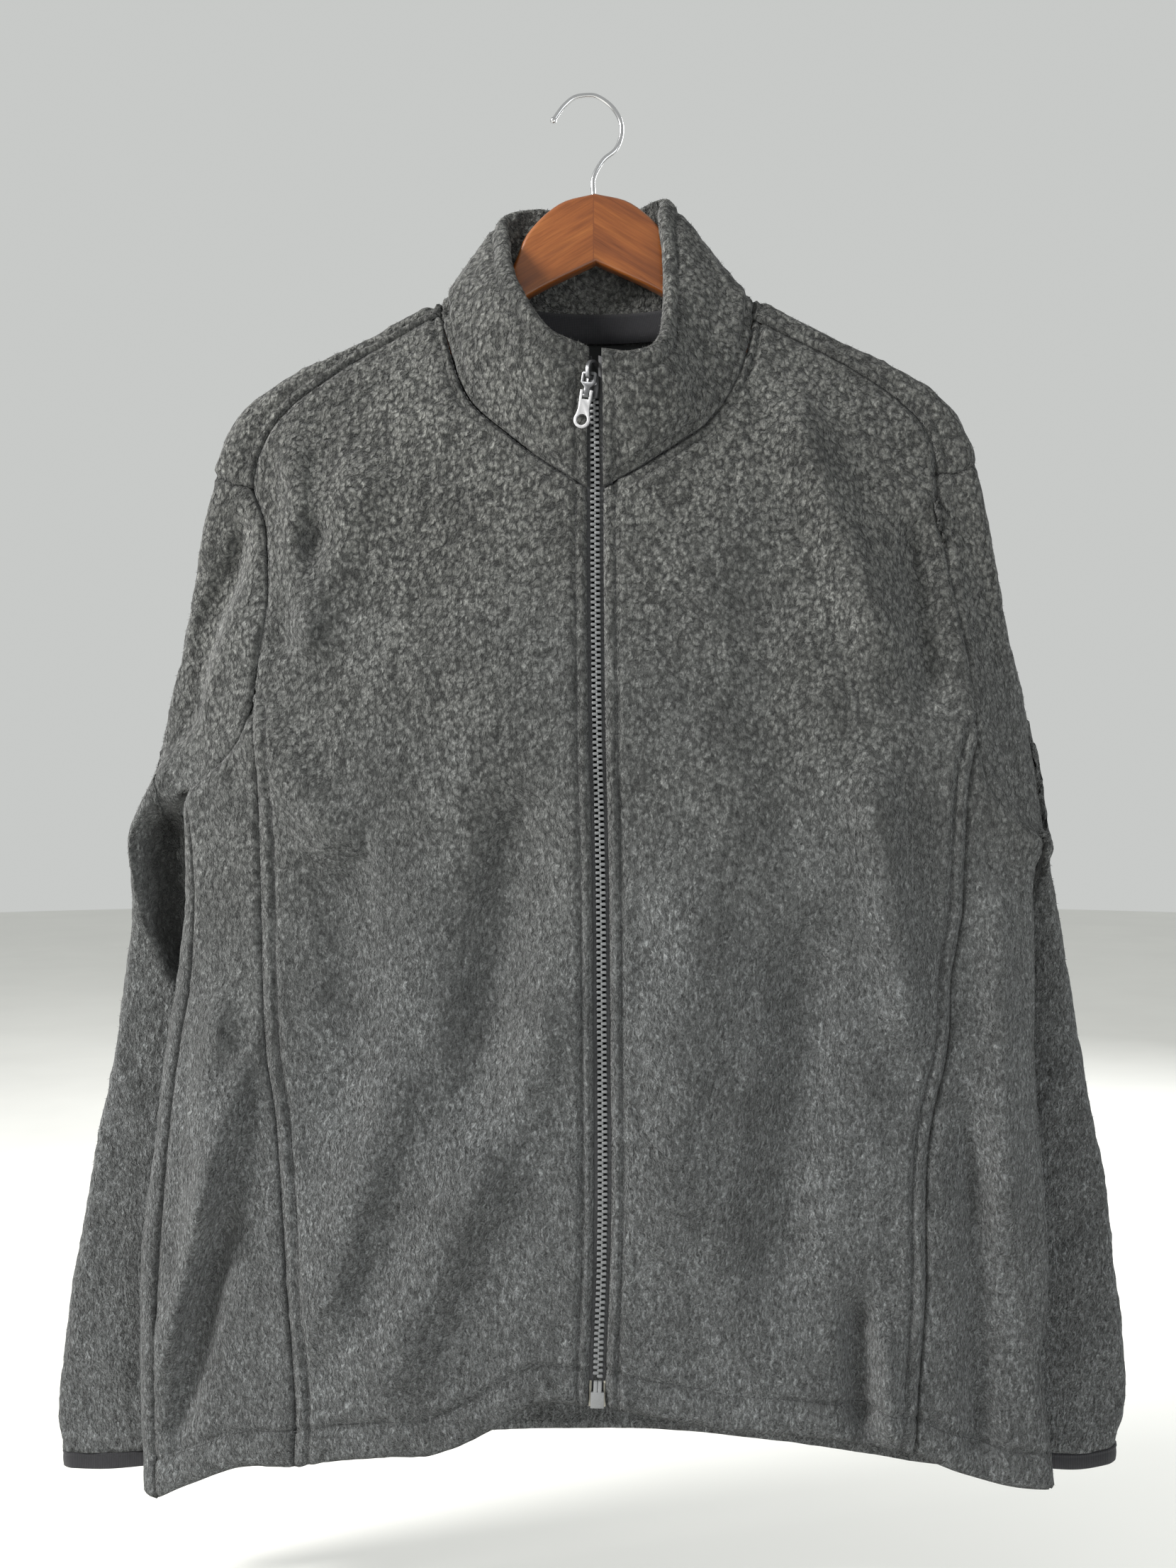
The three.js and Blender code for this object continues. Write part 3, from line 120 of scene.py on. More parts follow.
# Seams on the front, x and z, from neck or armhole outwards and down.
SEAMS = {
    "right": {
        "shoulder": [(-95, -138), (-110, -145), (-130, -156), (-150, -168), (-169, -181), (-186, -194),
                     (-199, -209), (-207, -226), (-211, -246)],
        "arm_top": [(-211, -246), (-224, -243), (-236, -236)],
        "arm_upper": [(-211, -246), (-203, -266), (-200, -295), (-200, -325), (-204, -350), (-208, -381)],
        "arm_lower": [(-208, -381), (-216, -402), (-232, -420), (-253, -436)],
        "arm_back": [(-236, -236), (-222, -262), (-214, -300), (-213, -350), (-226, -402), (-253, -436)],
        "princess": [(-208, -381), (-204, -426), (-202, -480), (-199, -585), (-192, -633), (-187, -700),
                     (-185, -734), (-182, -773), (-180, -810), (-181, -841)],
        "side": [(-253, -436), (-247, -470), (-246, -540), (-255, -599), (-262, -667), (-268, -749),
                 (-269, -802), (-268, -866)],
        "neck": [(-95, -138), (-89, -161), (-82, -183), (-73, -198), (-56, -213), (-33, -231), (-4, -249)],
        "hem": [(-3, -801), (-32, -799), (-60, -815), (-96, -831), (-125, -833), (-155, -836), (-181, -841)],
        "side_hem": [(-181, -841), (-214, -843), (-245, -855), (-268, -866)],
    },
    "left": {
        "shoulder": [(99, -141), (117, -149), (142, -161), (166, -175), (188, -190), (203, -205),
                     (210, -220), (212, -237)],
        "arm_top": [(212, -237), (226, -236), (239, -229)],
        "arm_upper": [(212, -237), (212, -257), (219, -295), (225, -328), (231, -360), (235, -400)],
        "arm_lower": [(235, -400), (241, -427), (256, -447), (279, -462)],
        "arm_back": [(239, -229), (224, -256), (219, -300), (224, -360), (244, -422), (279, -462)],
        "princess": [(235, -400), (229, -425), (226, -465), (224, -506), (217, -547), (215, -588),
                     (204, -638), (201, -680), (201, -733), (198, -782), (194, -834)],
        "side": [(279, -462), (273.5, -484), (272.5, -520), (272.5, -578), (273.5, -619), (278, -680),
                 (281, -731), (278, -764), (275, -782), (278, -806), (284, -862)],
        "neck": [(99, -141), (95, -161), (84, -188), (69, -209), (51, -222), (29, -236), (6, -249)],
        "hem": [(7, -801), (23, -805), (53, -811), (83, -817), (121, -820), (160, -826), (194, -834)],
        "side_hem": [(194, -834), (221, -846), (254, -857), (284, -862)],
    },
}

# The neck seam behind: x, z and the side it lies on (front -1, ridge 0, back 1).
NECK_BACK = [(-95, -138, -1), (-94, -128, 0), (-84, -132, 1), (-45, -142, 1), (2, -145, 1), (48, -142, 1),
             (88, -132, 1), (98, -127, 0), (99, -141, -1)]
YOKE = {
    "right": [(-212, -222), (-190, -196), (-150, -176), (-105, -156)],
    "neck": [(-105, -156), (-60, -163), (0, -168), (60, -163), (107, -155)],
    "left": [(107, -155), (150, -172), (190, -193), (214, -218)],
}
BACK_HEM = [(-268, -866), (-200, -850), (-100, -839), (0, -836), (100, -841), (200, -853), (284, -862)]
ZIP_LINE = [(1, -249), (1, -300), (2, -396), (4, -480), (5, -595), (5, -707), (2, -789), (2, -801)]

# Folds: a soft ridge (height above 0) or trough along a line, as x0, z0, x1, z1, width, height.
FRONT_FOLDS = [
    (-186, -215, -176, -345, 11, 4), (-167, -270, -190, -350, 12, -5), (-140, -235, -192, -350, 20, 4),
    (-206, -395, -150, -470, 16, 3), (-45, -440, -66, -640, 22, -5), (-25, -560, -128, -790, 20, 4),
    (-120, -600, -168, -760, 18, 4), (-150, -470, -140, -640, 22, -3), (-228, -560, -240, -700, 12, 4),
    (-212, -600, -262, -780, 9, 4), (-222, -690, -255, -830, 9, -4), (120, -200, 175, -350, 16, 4),
    (196, -270, 205, -380, 12, -4), (95, -300, 120, -480, 22, -3), (60, -480, 45, -700, 24, 3),
    (130, -520, 110, -740, 22, -4), (165, -420, 190, -580, 16, 4), (158, -740, 162, -820, 9, -5),
    (175, -760, 178, -820, 8, 3), (245, -500, 250, -700, 13, 4), (230, -640, 236, -840, 11, -4),
]
BACK_FOLDS = [
    (-150, -230, -110, -520, 22, 4), (-60, -260, -75, -700, 26, -4), (20, -420, 35, -800, 26, 4),
    (140, -240, 110, -520, 22, 4), (95, -560, 120, -820, 24, -4), (-150, -600, -165, -830, 20, 4),
    (190, -560, 205, -820, 18, 4), (-200, -400, -120, -470, 14, -3), (205, -410, 130, -480, 14, -3),
]

SLEEVES = {
    "right": {
        "outer": [(-236, -236), (-243, -260), (-250, -301), (-259, -351), (-266, -380), (-271, -408),
                  (-275, -424), (-284, -440), (-291, -453), (-293, -472), (-291, -490), (-291, -503),
                  (-294, -535), (-303, -593), (-314, -648), (-323, -702), (-330, -740), (-336, -785),
                  (-340, -818), (-339, -836), (-336, -848)],
        "inner": [(-253, -436), (-258, -447), (-256, -462), (-246, -500), (-238, -560), (-238, -700),
                  (-243, -846)],
        "rings": [(-340, -447, [(-266, -438), (-268, -420), (-263, -385)]),
                  (-500, -500, [(-262, -505), (-277, -506)]),
                  (-848, -846, [(-275, -847), (-307, -849)])],
        "back_rings": [[(-256, -400)], [(-268, -500)], [(-290, -849)]],
        "edge": [(-236, -2, -12), (-300, 4, -12), (-400, 6, -12), (-440, -1, -10), (-475, -1, 6),
                 (-520, 10, 14), (-600, 13, 17), (-700, 14, 19), (-848, 14, 19)],
        "flap": [(-150, -250), (-212, -254), (-214, -300), (-229, -330), (-237, -356), (-241, -380),
                 (-247, -396), (-260, -408), (-276, -423), (-297, -440), (-297, -458), (-280, -452),
                 (-263, -442), (-255, -452), (-150, -440)],
        "flap_depth": [(-236, -18, -12), (-300, -24, -15), (-380, -24, -15), (-452, -20, -11)],
        "band": [(-300, -446), (-286, -455), (-263, -444), (-250, -452), (-244, -560), (-257, -556),
                 (-266, -537), (-275, -520), (-283, -503), (-290, -486), (-300, -470)],
        "band_depth": (-9, 21, 30),
    },
    "left": {
        "outer": [(239, -229), (246, -250), (251, -277), (255, -298), (262, -339), (269, -367),
                  (276, -408), (283, -449), (292, -499), (302, -560), (315, -629), (326, -681), (331, -726),
                  (336, -768), (340, -808), (338, -828), (331, -844)],
        "inner": [(279, -462), (284, -470), (277, -485), (262, -520), (252, -580), (245, -700),
                  (241, -846)],
        "rings": [(-380, -472, [(284, -464), (281, -440), (277, -415)]),
                  (-510, -510, [(280, -512)]),
                  (-844, -846, [(275, -848), (305, -849)])],
        "back_rings": [[(280, -420)], [(280, -510)], [(290, -849)]],
        "edge": [(-229, -2, -12), (-300, 4, -12), (-400, 6, -12), (-462, 8, -10), (-490, 9, 8),
                 (-520, 10, 14), (-600, 12, 17), (-700, 13, 19), (-848, 13, 19)],
        "flap": None,
        "band": None,
    },
}
SLEEVE = {"half": 9, "soft": 5, "front_bulge": 2, "back_bulge": 3, "inner_reach": 60, "front_flat": 5,
          "back_flat": 10, "back_blend": 60, "flap_end": -265, "flap_blend": 60, "clear": 2}
SLEEVE_FOLDS = [
    (-300, -620, -262, -660, 10, 3), (-318, -700, -270, -730, 10, -3), (-330, -770, -290, -800, 12, 3),
    (305, -600, 275, -650, 10, 3), (322, -690, 285, -720, 10, -3), (332, -770, 295, -800, 12, 3),
]

# The collar's top edge: share, x, y and z, from the right zip edge round the back to the left one.
COLLAR_TOP = [
    (0, -3.6, -36, -169.5), (0.09, -27, -42, -160), (0.17, -44, -37, -137), (0.23, -52, -27, -119),
    (0.29, -56, -8, -92), (0.35, -56, 13, -71), (0.42, -36, 22, -66), (0.5, 0, 24, -69), (0.58, 30, 22, -66),
    (0.65, 46, 12, -62), (0.7, 44, -5, -77), (0.77, 46, -18, -110), (0.84, 45, -34, -152),
    (0.9, 38, -42, -168), (0.95, 23, -43, -174), (1, 4.8, -43.5, -173),
]
COLLAR_BULGE = [(0, 1), (0.12, 3), (0.25, 3), (0.4, 1), (0.6, 1), (0.75, 2), (0.82, -3), (0.9, 4), (1, 1)]
COLLAR_MIDDLE = (1, -8)

# The pile's lumps: height, size across, deep and down, and seed.
PILE_LUMPS = ((0.55, (4.2, 4.2, 5.2), 3), (0.6, (9, 9, 13), 7), (1.1, (34, 34, 60), 11),
              (1.2, (70, 70, 160), 17))
FIBRE = {"radius": 0.17, "short": 0.9, "long": 2.3, "root": 0.25, "sides": 3, "stray": 0.35}

# A seam's valley, the puffed strip beside it, the groove of its topstitch and the strip beyond that.
SEAM = {"valley": (1.9, 2.2), "puff": (0.8, 0.28), "stitch": (1.5, 1.6), "beyond": (0.5, 3, 5)}
# Painted shade in a seam's valley and in the groove of its topstitch: how dark, and how wide.
SEAM_SHADE = {"valley": (0.8, 1.1), "stitch": (0.65, 1.0)}

# How far in from each seam its topstitch runs, or 0 for a seam without one.
HEM = 22.0
ZIP_STITCH = 12
PRINCESS_STITCH = 8.5
NECK_STITCH = 5
FRONT_EDGES = (("zip", 7), ("neck", NECK_STITCH), ("shoulder", 0), ("arm_upper", 0),
               ("princess", PRINCESS_STITCH), ("hem", HEM))
SIDE_EDGES = (("princess", 0), ("arm_lower", 0), ("side", 0), ("hem", HEM))
BACK_EDGES = (("shoulder", 6), ("arm_top", 0), ("arm_back", 0), ("side", 0))
SLEEVE_EDGES = (("arm_lower", 0), ("arm_upper", 0), ("arm_top", 0), ("arm_back", 0))
THREAD = {"size": (0.5, 2.6, 0.5), "round": 0.2, "gap": 0.9, "sink": 0.05}

# Each cut: its flat width and length and its area in metres, and how many loose fibres stand out of it.
CUTS = {
    "front": {"flat": (0.24, 0.70), "area": 0.13, "fibres": 5000},
    "side_front": {"flat": (0.10, 0.47), "area": 0.029, "fibres": 1300},
    "back": {"flat": (0.60, 0.76), "area": 0.38, "fibres": 7000},
    "sleeve": {"flat": (0.30, 0.60), "area": 0.08, "fibres": 5500},
    "collar": {"flat": (0.50, 0.09), "area": 0.036, "fibres": 3500},
}
SLEEVE_THIN = 0.5
# Painted shade in the hollow under the arm: the softness of its edge, and the depth it starts at and deepens
# over.
UNDERARM_SHADE = {"soft": 5, "from": -2, "deep": 12}

# The collar thickens from the seam up, except where the zip's pull needs room.
COLLAR = {"roll_rows": 12, "inset": 1.2, "thin": 1.2, "gain": 2.8, "full_by": 0.9, "stitch": 8.0,
          "end_stitch": 7.5, "end_depth": 0.8, "stitch_width": 1.7, "groove": 1.6, "shade": 0.7,
          "inner_pile": 0.5, "inner_groove": 0.8, "inner_shift": 500, "round": 1.05}
PULL = {"spot": (-4.6, -41.0, -197.0), "reach": 11.0, "soft": 9}
CUFF = {"rows": 14, "height": 10.0, "drop": 0.2, "line": 0.7, "line_at": 0.1, "line_width": 0.07,
        "puff": 0.5, "inset": 0.6, "thick": 1.3}

# Which coarse cells of a panel an inner layer covers: rows from and to, columns from and to.
POCKET_CELLS = (11, 18, 4, 9)
FACING_CELLS = (1, CAP_ROWS + 3, STEPS["front"] + 2, STEPS["front"] + 6)
NECK_TAPE_CELLS = (0, 1, STEPS["neck_front"] + 2, STEPS["neck_front"] + 6)
POCKET_THICK = 1.9
FACING_THICK = 0.9
NECK_TAPE_BELOW = 7

ZIP = {"middle": -2.1, "chain_end": -785.3, "chain_top": -197.3, "box": -792.0}
TWIST = {"slider": math.radians(35), "from": -240.0, "to": -198.0}
TAPE = {"rows": 420, "inner": 2.4, "cover": 7.0, "under": 2.9, "thick": 0.6}
TOOTH = {"size": (3.5, 1.95, 2.3), "round": 0.55, "beside": 1.25}
FILM = {"size": (1.5, 15.5, 0.5), "round": 0.2, "beside": 4.3, "under": 0.6, "below": 1.5}
SHARP_ANGLE = math.radians(30)
FLAT_ANGLE = math.radians(2)
SHADE_ANGLE = math.radians(50)

HANGER = {"half": 5.5, "tilt": math.radians(0.8), "round": 2.6, "shade_angle": math.radians(40)}
HANGER_TOP = [(0, -61), (22, -67), (42, -85), (51, -104), (64, -125), (98, -141), (132, -153.5), (163, -169),
              (190, -183), (203, -194), (208, -203)]
HANGER_BOTTOM = [(205, -213), (190, -210), (150, -192), (98, -163), (43, -125), (0, -104)]
GRAIN_SLOPE = math.radians(31)
HOOK_PATH = [(0, -75), (0, -61), (0, -50), (6, -39), (14, -32), (17.5, -22), (16.5, -13.5), (11, -5), (2, 1),
             (-5, 1.6), (-12, 0.2), (-18, -4.5), (-22, -9.5), (-25, -14)]
HOOK = {"steps": 120, "sides": 20, "tip": 2.1, "tip_rings": 12}

CAMERA = {"x": -0.0034, "back": 1.0, "z": -0.42875, "frame": 0.98, "sensor": 36.0, "near": 0.02}
FLOOR_RADIUS = 6


# Curves and small maths

def mix(a, b, share):
    return a + (b - a) * share


def smooth(value):
    share = np.clip(value, 0, 1)
    return share * share * (3 - 2 * share)


def lookup(table, value, key=0, want=1):
    """Reads a table by one column, straight between its rows."""
    rows = sorted(table, key=lambda row: row[key])
    return np.interp(value, [row[key] for row in rows], [row[want] for row in rows])


def unit(vectors):
    size = np.linalg.norm(vectors, axis=-1, keepdims=True)
    return vectors / np.maximum(size, 1e-12)


class Spline:
    """A smooth curve through points, read by its share of the length along the chords."""

    def __init__(self, points):
        self.points = np.asarray(points, float)
        chords = np.linalg.norm(np.diff(self.points, axis=0), axis=1)
        self.at = np.concatenate([[0], np.cumsum(chords)])
        count = len(self.points)
        before = np.maximum(np.arange(count) - 1, 0)
        after = np.minimum(np.arange(count) + 1, count - 1)
        spans = (self.at[after] - self.at[before])[:, None]
        self.tangent = (self.points[after] - self.points[before]) / spans

    def read(self, length):
        length = np.atleast_1d(length)
        i = np.searchsorted(self.at[1:-1], length, side="left")
        span = (self.at[i + 1] - self.at[i])[:, None]
        f = np.clip((length - self.at[i])[:, None] / span, 0, 1)
        g = 1 - f
        start = g * g * (1 + 2 * f) * self.points[i] + f * f * (3 - 2 * f) * self.points[i + 1]
        return start + span * f * g * (g * self.tangent[i] - f * self.tangent[i + 1])

    def sample(self, steps):
        return self.read(np.linspace(0, self.at[-1], steps + 1))

    def rows(self, counts):
        """Points with counts[i] steps between the curve's points i and i + 1."""
        marks = [np.array([self.at[0]])]
        for i, count in enumerate(counts):
            marks.append(mix(self.at[i], self.at[i + 1], np.arange(1, count + 1) / count))
        return self.read(np.concatenate(marks))


def sample(points, steps):
    return Spline(points).sample(steps)


def nearest(line, x, z):
    """How far each place is from a line in x and z, and the nearest point on it."""
    best = np.full(np.shape(x), np.inf)
    near_x = np.zeros(np.shape(x))
    near_z = np.zeros(np.shape(x))
    for (ax, az), (bx, bz) in zip(line[:-1], line[1:]):
        dx, dz = bx - ax, bz - az
        f = np.clip(((x - ax) * dx + (z - az) * dz) / (dx * dx + dz * dz), 0, 1)
        px, pz = ax + f * dx, az + f * dz
        far = np.hypot(x - px, z - pz)
        closer = far < best
        best = np.where(closer, far, best)
        near_x = np.where(closer, px, near_x)
        near_z = np.where(closer, pz, near_z)
    return best, near_x, near_z


def inside(line, x, z):
    odd = np.zeros(np.shape(x), bool)
    for (ax, az), (bx, bz) in zip(line, np.roll(line, 1, axis=0)):
        if az == bz:
            continue
        crosses = ((az > z) != (bz > z)) & (x < ax + (z - az) / (bz - az) * (bx - ax))
        odd ^= crosses
    return odd


def region(points, soft, x, z):
    """A soft mask, 1 well inside a closed line and 0 well outside."""
    line = np.array(points, float)
    far = nearest(np.vstack([line, line[:1]]), x, z)[0]
    return smooth(0.5 + np.where(inside(line, x, z), far, -far) / (2 * soft))


def round_over(far, radius):
    return np.sqrt(1 - (1 - np.clip(far / radius, 0, 1)) ** 2)


def ridge(far, at, width):
    """A soft ridge: 1 at one distance, and falling to 0 on both sides of it."""
    return np.exp(-((far - at) / width) ** 2)


def fold_depth(folds, x, z):
    total = np.zeros(np.shape(x))
    for x0, z0, x1, z1, width, height in folds:
        dx, dz = x1 - x0, z1 - z0
        f = ((x - x0) * dx + (z - z0) * dz) / (dx * dx + dz * dz)
        off = ((x - x0) * dz - (z - z0) * dx) / math.hypot(dx, dz)
        ends = smooth((f + FOLD_END) / (2 * FOLD_END)) * smooth((1 + FOLD_END - f) / (2 * FOLD_END))
        total += height * ridge(off, 0, width) * ends
    return total


def scatter(ix, iy, iz, seed):
    """A repeatable value from -1 to 1 for each corner of a grid in space."""
    mixed = (ix * 73856093) ^ (iy * 19349663) ^ (iz * 83492791) ^ (seed * 2654435761)
    mixed = (mixed ^ (mixed >> 13)) * 1274126177
    return ((mixed ^ (mixed >> 16)) & 0xFFFF) / 32767.5 - 1


def lumps(points, size, seed):
    """Soft lumps of about the given size over points in space."""
    scaled = np.asarray(points) / np.asarray(size, float)
    low = np.floor(scaled).astype(np.int64)
    f = smooth(scaled - low)
    total = 0
    for corner in range(8):
        dx, dy, dz = corner & 1, (corner >> 1) & 1, corner >> 2
        weight = (f[..., 0] if dx else 1 - f[..., 0]) * (f[..., 1] if dy else 1 - f[..., 1])
        weight = weight * (f[..., 2] if dz else 1 - f[..., 2])
        total = total + weight * scatter(low[..., 0] + dx, low[..., 1] + dy, low[..., 2] + dz, seed)
    return total


# The body: a front and a back sheet that roll into each other along the outline

RIGHT_LINE = sample(OUTLINE["right"], OUTLINE_STEPS)
LEFT_LINE = sample(OUTLINE["left"], OUTLINE_STEPS)
BODY_LINE = np.vstack([[(RIGHT_LINE[-1][0], FAR_BELOW)], RIGHT_LINE[::-1], LEFT_LINE,
                       [(LEFT_LINE[-1][0], FAR_BELOW)]])


def ridge_z(x):
    right = lookup(OUTLINE["right"][:7], x)
    left = lookup(OUTLINE["left"][:7], x)
    return np.where(np.abs(x) < NECK_HALF, NECK_TOP, np.where(x < 0, right, left))


def sheet(x, z, side):
    edge = SIDE_DEPTH * smooth((APEX_Z - z) / (APEX_Z - UNDERARM_Z))
    rounding = round_over(nearest(BODY_LINE, x, z)[0], EDGE_RADIUS)
    low = lookup(RIGHT_LINE, z, 1, 0)
    high = lookup(LEFT_LINE, z, 1, 0)
    across = np.clip(np.abs((2 * x - low - high) / (high - low)), 0, 1)
    hang = 1 - (1 - np.clip((ridge_z(x) - z) / DRAPE_DROP, 0, 1)) ** 3
    if side < 0:
        bulge = FRONT_BULGE * (1 - across ** FRONT_FLATNESS) * hang
        return edge - rounding * (EDGE_HALF + FOLD_GAIN * fold_depth(FRONT_FOLDS, x, z)) - bulge
    bulge = BACK_BULGE * (1 - across ** 2) * hang
    return edge + rounding * (EDGE_HALF + fold_depth(BACK_FOLDS, x, z)) + bulge


def on_sheet(flat, side):
    x, z = flat[..., 0], flat[..., 1]
    return np.stack([x, sheet(x, z, side), z], axis=-1)


def on_front(flat):
    return on_sheet(flat, -1)


def on_back(flat):
    return on_sheet(flat, 1)


ROLL = np.linspace(0, UNROLL, ROLL_STEPS)
ROLLED = UNROLL * (2 * (ROLL / UNROLL) ** 2 - (ROLL / UNROLL) ** 3)


def slide(flat, side, given, wanted):
    """Moves places near the outline along the way to it, by a table from one distance to another."""
    x, z = flat[..., 0], flat[..., 1]
    far, near_x, near_z = nearest(BODY_LINE, x, z)
    reach = side * np.interp(far, given, wanted) / np.maximum(far, TINY)
    moved = np.stack([near_x + (x - near_x) * reach, near_z + (z - near_z) * reach], axis=-1)
    keep = (far >= UNROLL) | (far < ON_LINE)
    return np.where(keep[..., None], flat, moved)


def lay_out(flat, side):
    """Near the outline the cloth is laid out flat: what is on the front is mirrored to outside it."""
    return slide(flat, side, ROLLED, ROLL)


def wrap(flat):
    """Rolls laid-out cloth round the outline again: what is inside it lies behind, the rest in front."""
    within = inside(BODY_LINE, flat[..., 0], flat[..., 1])
    spot = slide(flat, np.where(within, 1, -1), ROLL, ROLLED)
    return np.where(within[..., None], on_back(spot), on_front(spot))


# Grids: rows of points that run across, from the first column to the last

def guided(guides, counts):
    guides = np.asarray(guides)
    columns = [Spline(guides[:, i]).rows(counts) for i in range(guides.shape[1])]
    return np.stack(columns, axis=1)


def fit_sides(grid, first, last, hold=1):
    share = np.linspace(0, 1, grid.shape[1])[None, :, None]
    to_first = (np.asarray(first) - grid[:, 0])[:, None]
    to_last = (np.asarray(last) - grid[:, -1])[:, None]
    return grid + (1 - share) ** hold * to_first + share ** hold * to_last


def join(*lists):
    return np.concatenate([part if i == 0 else part[1:] for i, part in enumerate(lists)])


def zip_edge(name, steps):
    """The edge of the fleece beside the zip, in x and z."""
    return sample(ZIP_LINE, steps) + (dict(SIDES)[name] * ZIP_EDGE, 0)


def body_lines(name, across, down):
    """The seams of one side in x and z, with the panel's own number of steps."""
    seam = SEAMS[name]
    steps = {"shoulder": STEPS["front"] * across, "arm_top": STEPS["arm_top"] * down,
             "arm_upper": STEPS["arm_upper"] * down, "arm_lower": STEPS["side"] * across,
             "arm_back": STEPS["arm"] * down, "princess": STEPS["skirt"] * down,
             "side": STEPS["skirt"] * down, "neck": STEPS["neck_front"] * down,
             "hem": STEPS["front"] * across, "side_hem": STEPS["side"] * across}
    lines = {key: sample(seam[key], count) for key, count in steps.items()}
    lines["zip"] = zip_edge(name, STEPS["skirt"] * down)
    lines["neck"][-1] = lines["zip"][0]
    lines["hem"][0] = lines["zip"][-1]
    return lines


def neck_back_line(steps):
    points = []
    for x, z, side in NECK_BACK:
        spot = np.array([float(x), float(z)])
        points.append(spot if side == 0 else lay_out(spot, side))
    return Spline(points).rows([steps] * STEPS["neck_back"])


def front_grid(name):
    across, down = FINE["front"]
    line = body_lines(name, across, down)
    rows = (STEPS["neck_front"] + STEPS["skirt"]) * down
    flat = guided([line["shoulder"], line["hem"]], [rows])
    flat = fit_sides(flat, join(line["neck"], line["zip"]), join(line["arm_upper"], line["princess"]))
    return on_front(flat)


def side_grid(name):
    across, down = FINE["side"]
    line = body_lines(name, across, down)
    flat = guided([line["arm_lower"], line["side_hem"]], [STEPS["skirt"] * down])
    return on_front(fit_sides(flat, line["princess"], line["side"]))


def back_grid():
    across, down = FINE["back"]
    lines = {name: body_lines(name, across, down) for name, _ in SIDES}

    def edge(name, front_part, back_part):
        line = lines[name]
        return np.concatenate([front_part(line["arm_top"]), back_part(line["arm_back"][1:-1]),
                               front_part(line["side"])])

    def to_front(line):
        return lay_out(line, -1)

    def to_back(line):
        return lay_out(line, 1)

    first = edge("right", to_front, to_back)
    last = edge("left", to_front, to_back)
    neck = neck_back_line(across)
    right_shoulder, left_shoulder = lines["right"]["shoulder"][::-1], lines["left"]["shoulder"]
    top = join(to_front(right_shoulder), neck, to_front(left_shoulder))
    cap_row = CAP_ROWS * down
    cap = join(sample([first[cap_row], *YOKE["right"]], STEPS["front"] * across),
               sample(YOKE["neck"], STEPS["neck_back"] * across),
               sample([*YOKE["left"], last[cap_row]], STEPS["front"] * across))
    hem = sample([first[-1], *BACK_HEM[1:-1], last[-1]], len(top) - 1)
    flat = guided([top, cap, hem], [cap_row, len(first) - 1 - cap_row])
    grid = wrap(fit_sides(flat, first, last, BACK_HOLD))
    grid[0] = join(on_front(right_shoulder), wrap(neck), on_front(left_shoulder))
    grid[:, 0] = edge("right", on_front, on_back)
    grid[:, -1] = edge("left", on_front, on_back)
    return grid


def sleeve_depth(name, x, z, side):
    sleeve = SLEEVES[name]
    outer_line = sample(sleeve["outer"], OUTLINE_STEPS)
    inner_line = sample(sleeve["inner"], OUTLINE_STEPS)
    underarm = sleeve["inner"][0][1]
    below = z < underarm
    to_outer = nearest(outer_line, x, z)[0]
    to_inner = np.where(below, nearest(inner_line, x, z)[0], 99)
    share = to_outer / (to_outer + np.minimum(to_inner, SLEEVE["inner_reach"]))
    edge = mix(lookup(sleeve["edge"], z), lookup(sleeve["edge"], z, 0, 2), share)
    rounding = np.minimum(round_over(to_outer, SLEEVE["half"]), round_over(to_inner, SLEEVE["half"]))
    middle = 1 - (2 * share - 1) ** 2
    if side > 0:
        flat = SLEEVE["back_flat"] * smooth((APEX_Z - z) / SLEEVE["back_blend"])
        return np.maximum(edge, flat) + rounding * (SLEEVE["half"] + SLEEVE["back_bulge"] * middle)
    base = np.where(below, edge, np.maximum(edge, SLEEVE["front_flat"]))
    depth = base - SLEEVE["half"] - SLEEVE["front_bulge"] * middle - fold_depth(SLEEVE_FOLDS, x, z)
    if sleeve["flap"]:
        seam_y = lookup(sleeve["flap_depth"], z)
        edge_y = lookup(sleeve["flap_depth"], z, 0, 2)
        flap_y = mix(edge_y, seam_y, smooth((x - SLEEVE["flap_end"]) / SLEEVE["flap_blend"]))
        depth = mix(depth, flap_y, region(sleeve["flap"], SLEEVE["soft"], x, z))
        band_outer, band_inner, reach = sleeve["band_depth"]
        inward = smooth((x - lookup(outer_line, z, 1, 0)) / reach)
        depth = mix(depth, mix(band_outer, band_inner, inward), region(sleeve["band"], SLEEVE["soft"], x, z))
    behind = below & inside(BODY_LINE, x, z)
    depth = np.where(behind, np.maximum(depth, sheet(x, z, 1) + SLEEVE["clear"]), depth)
    return mix(edge, depth, rounding)


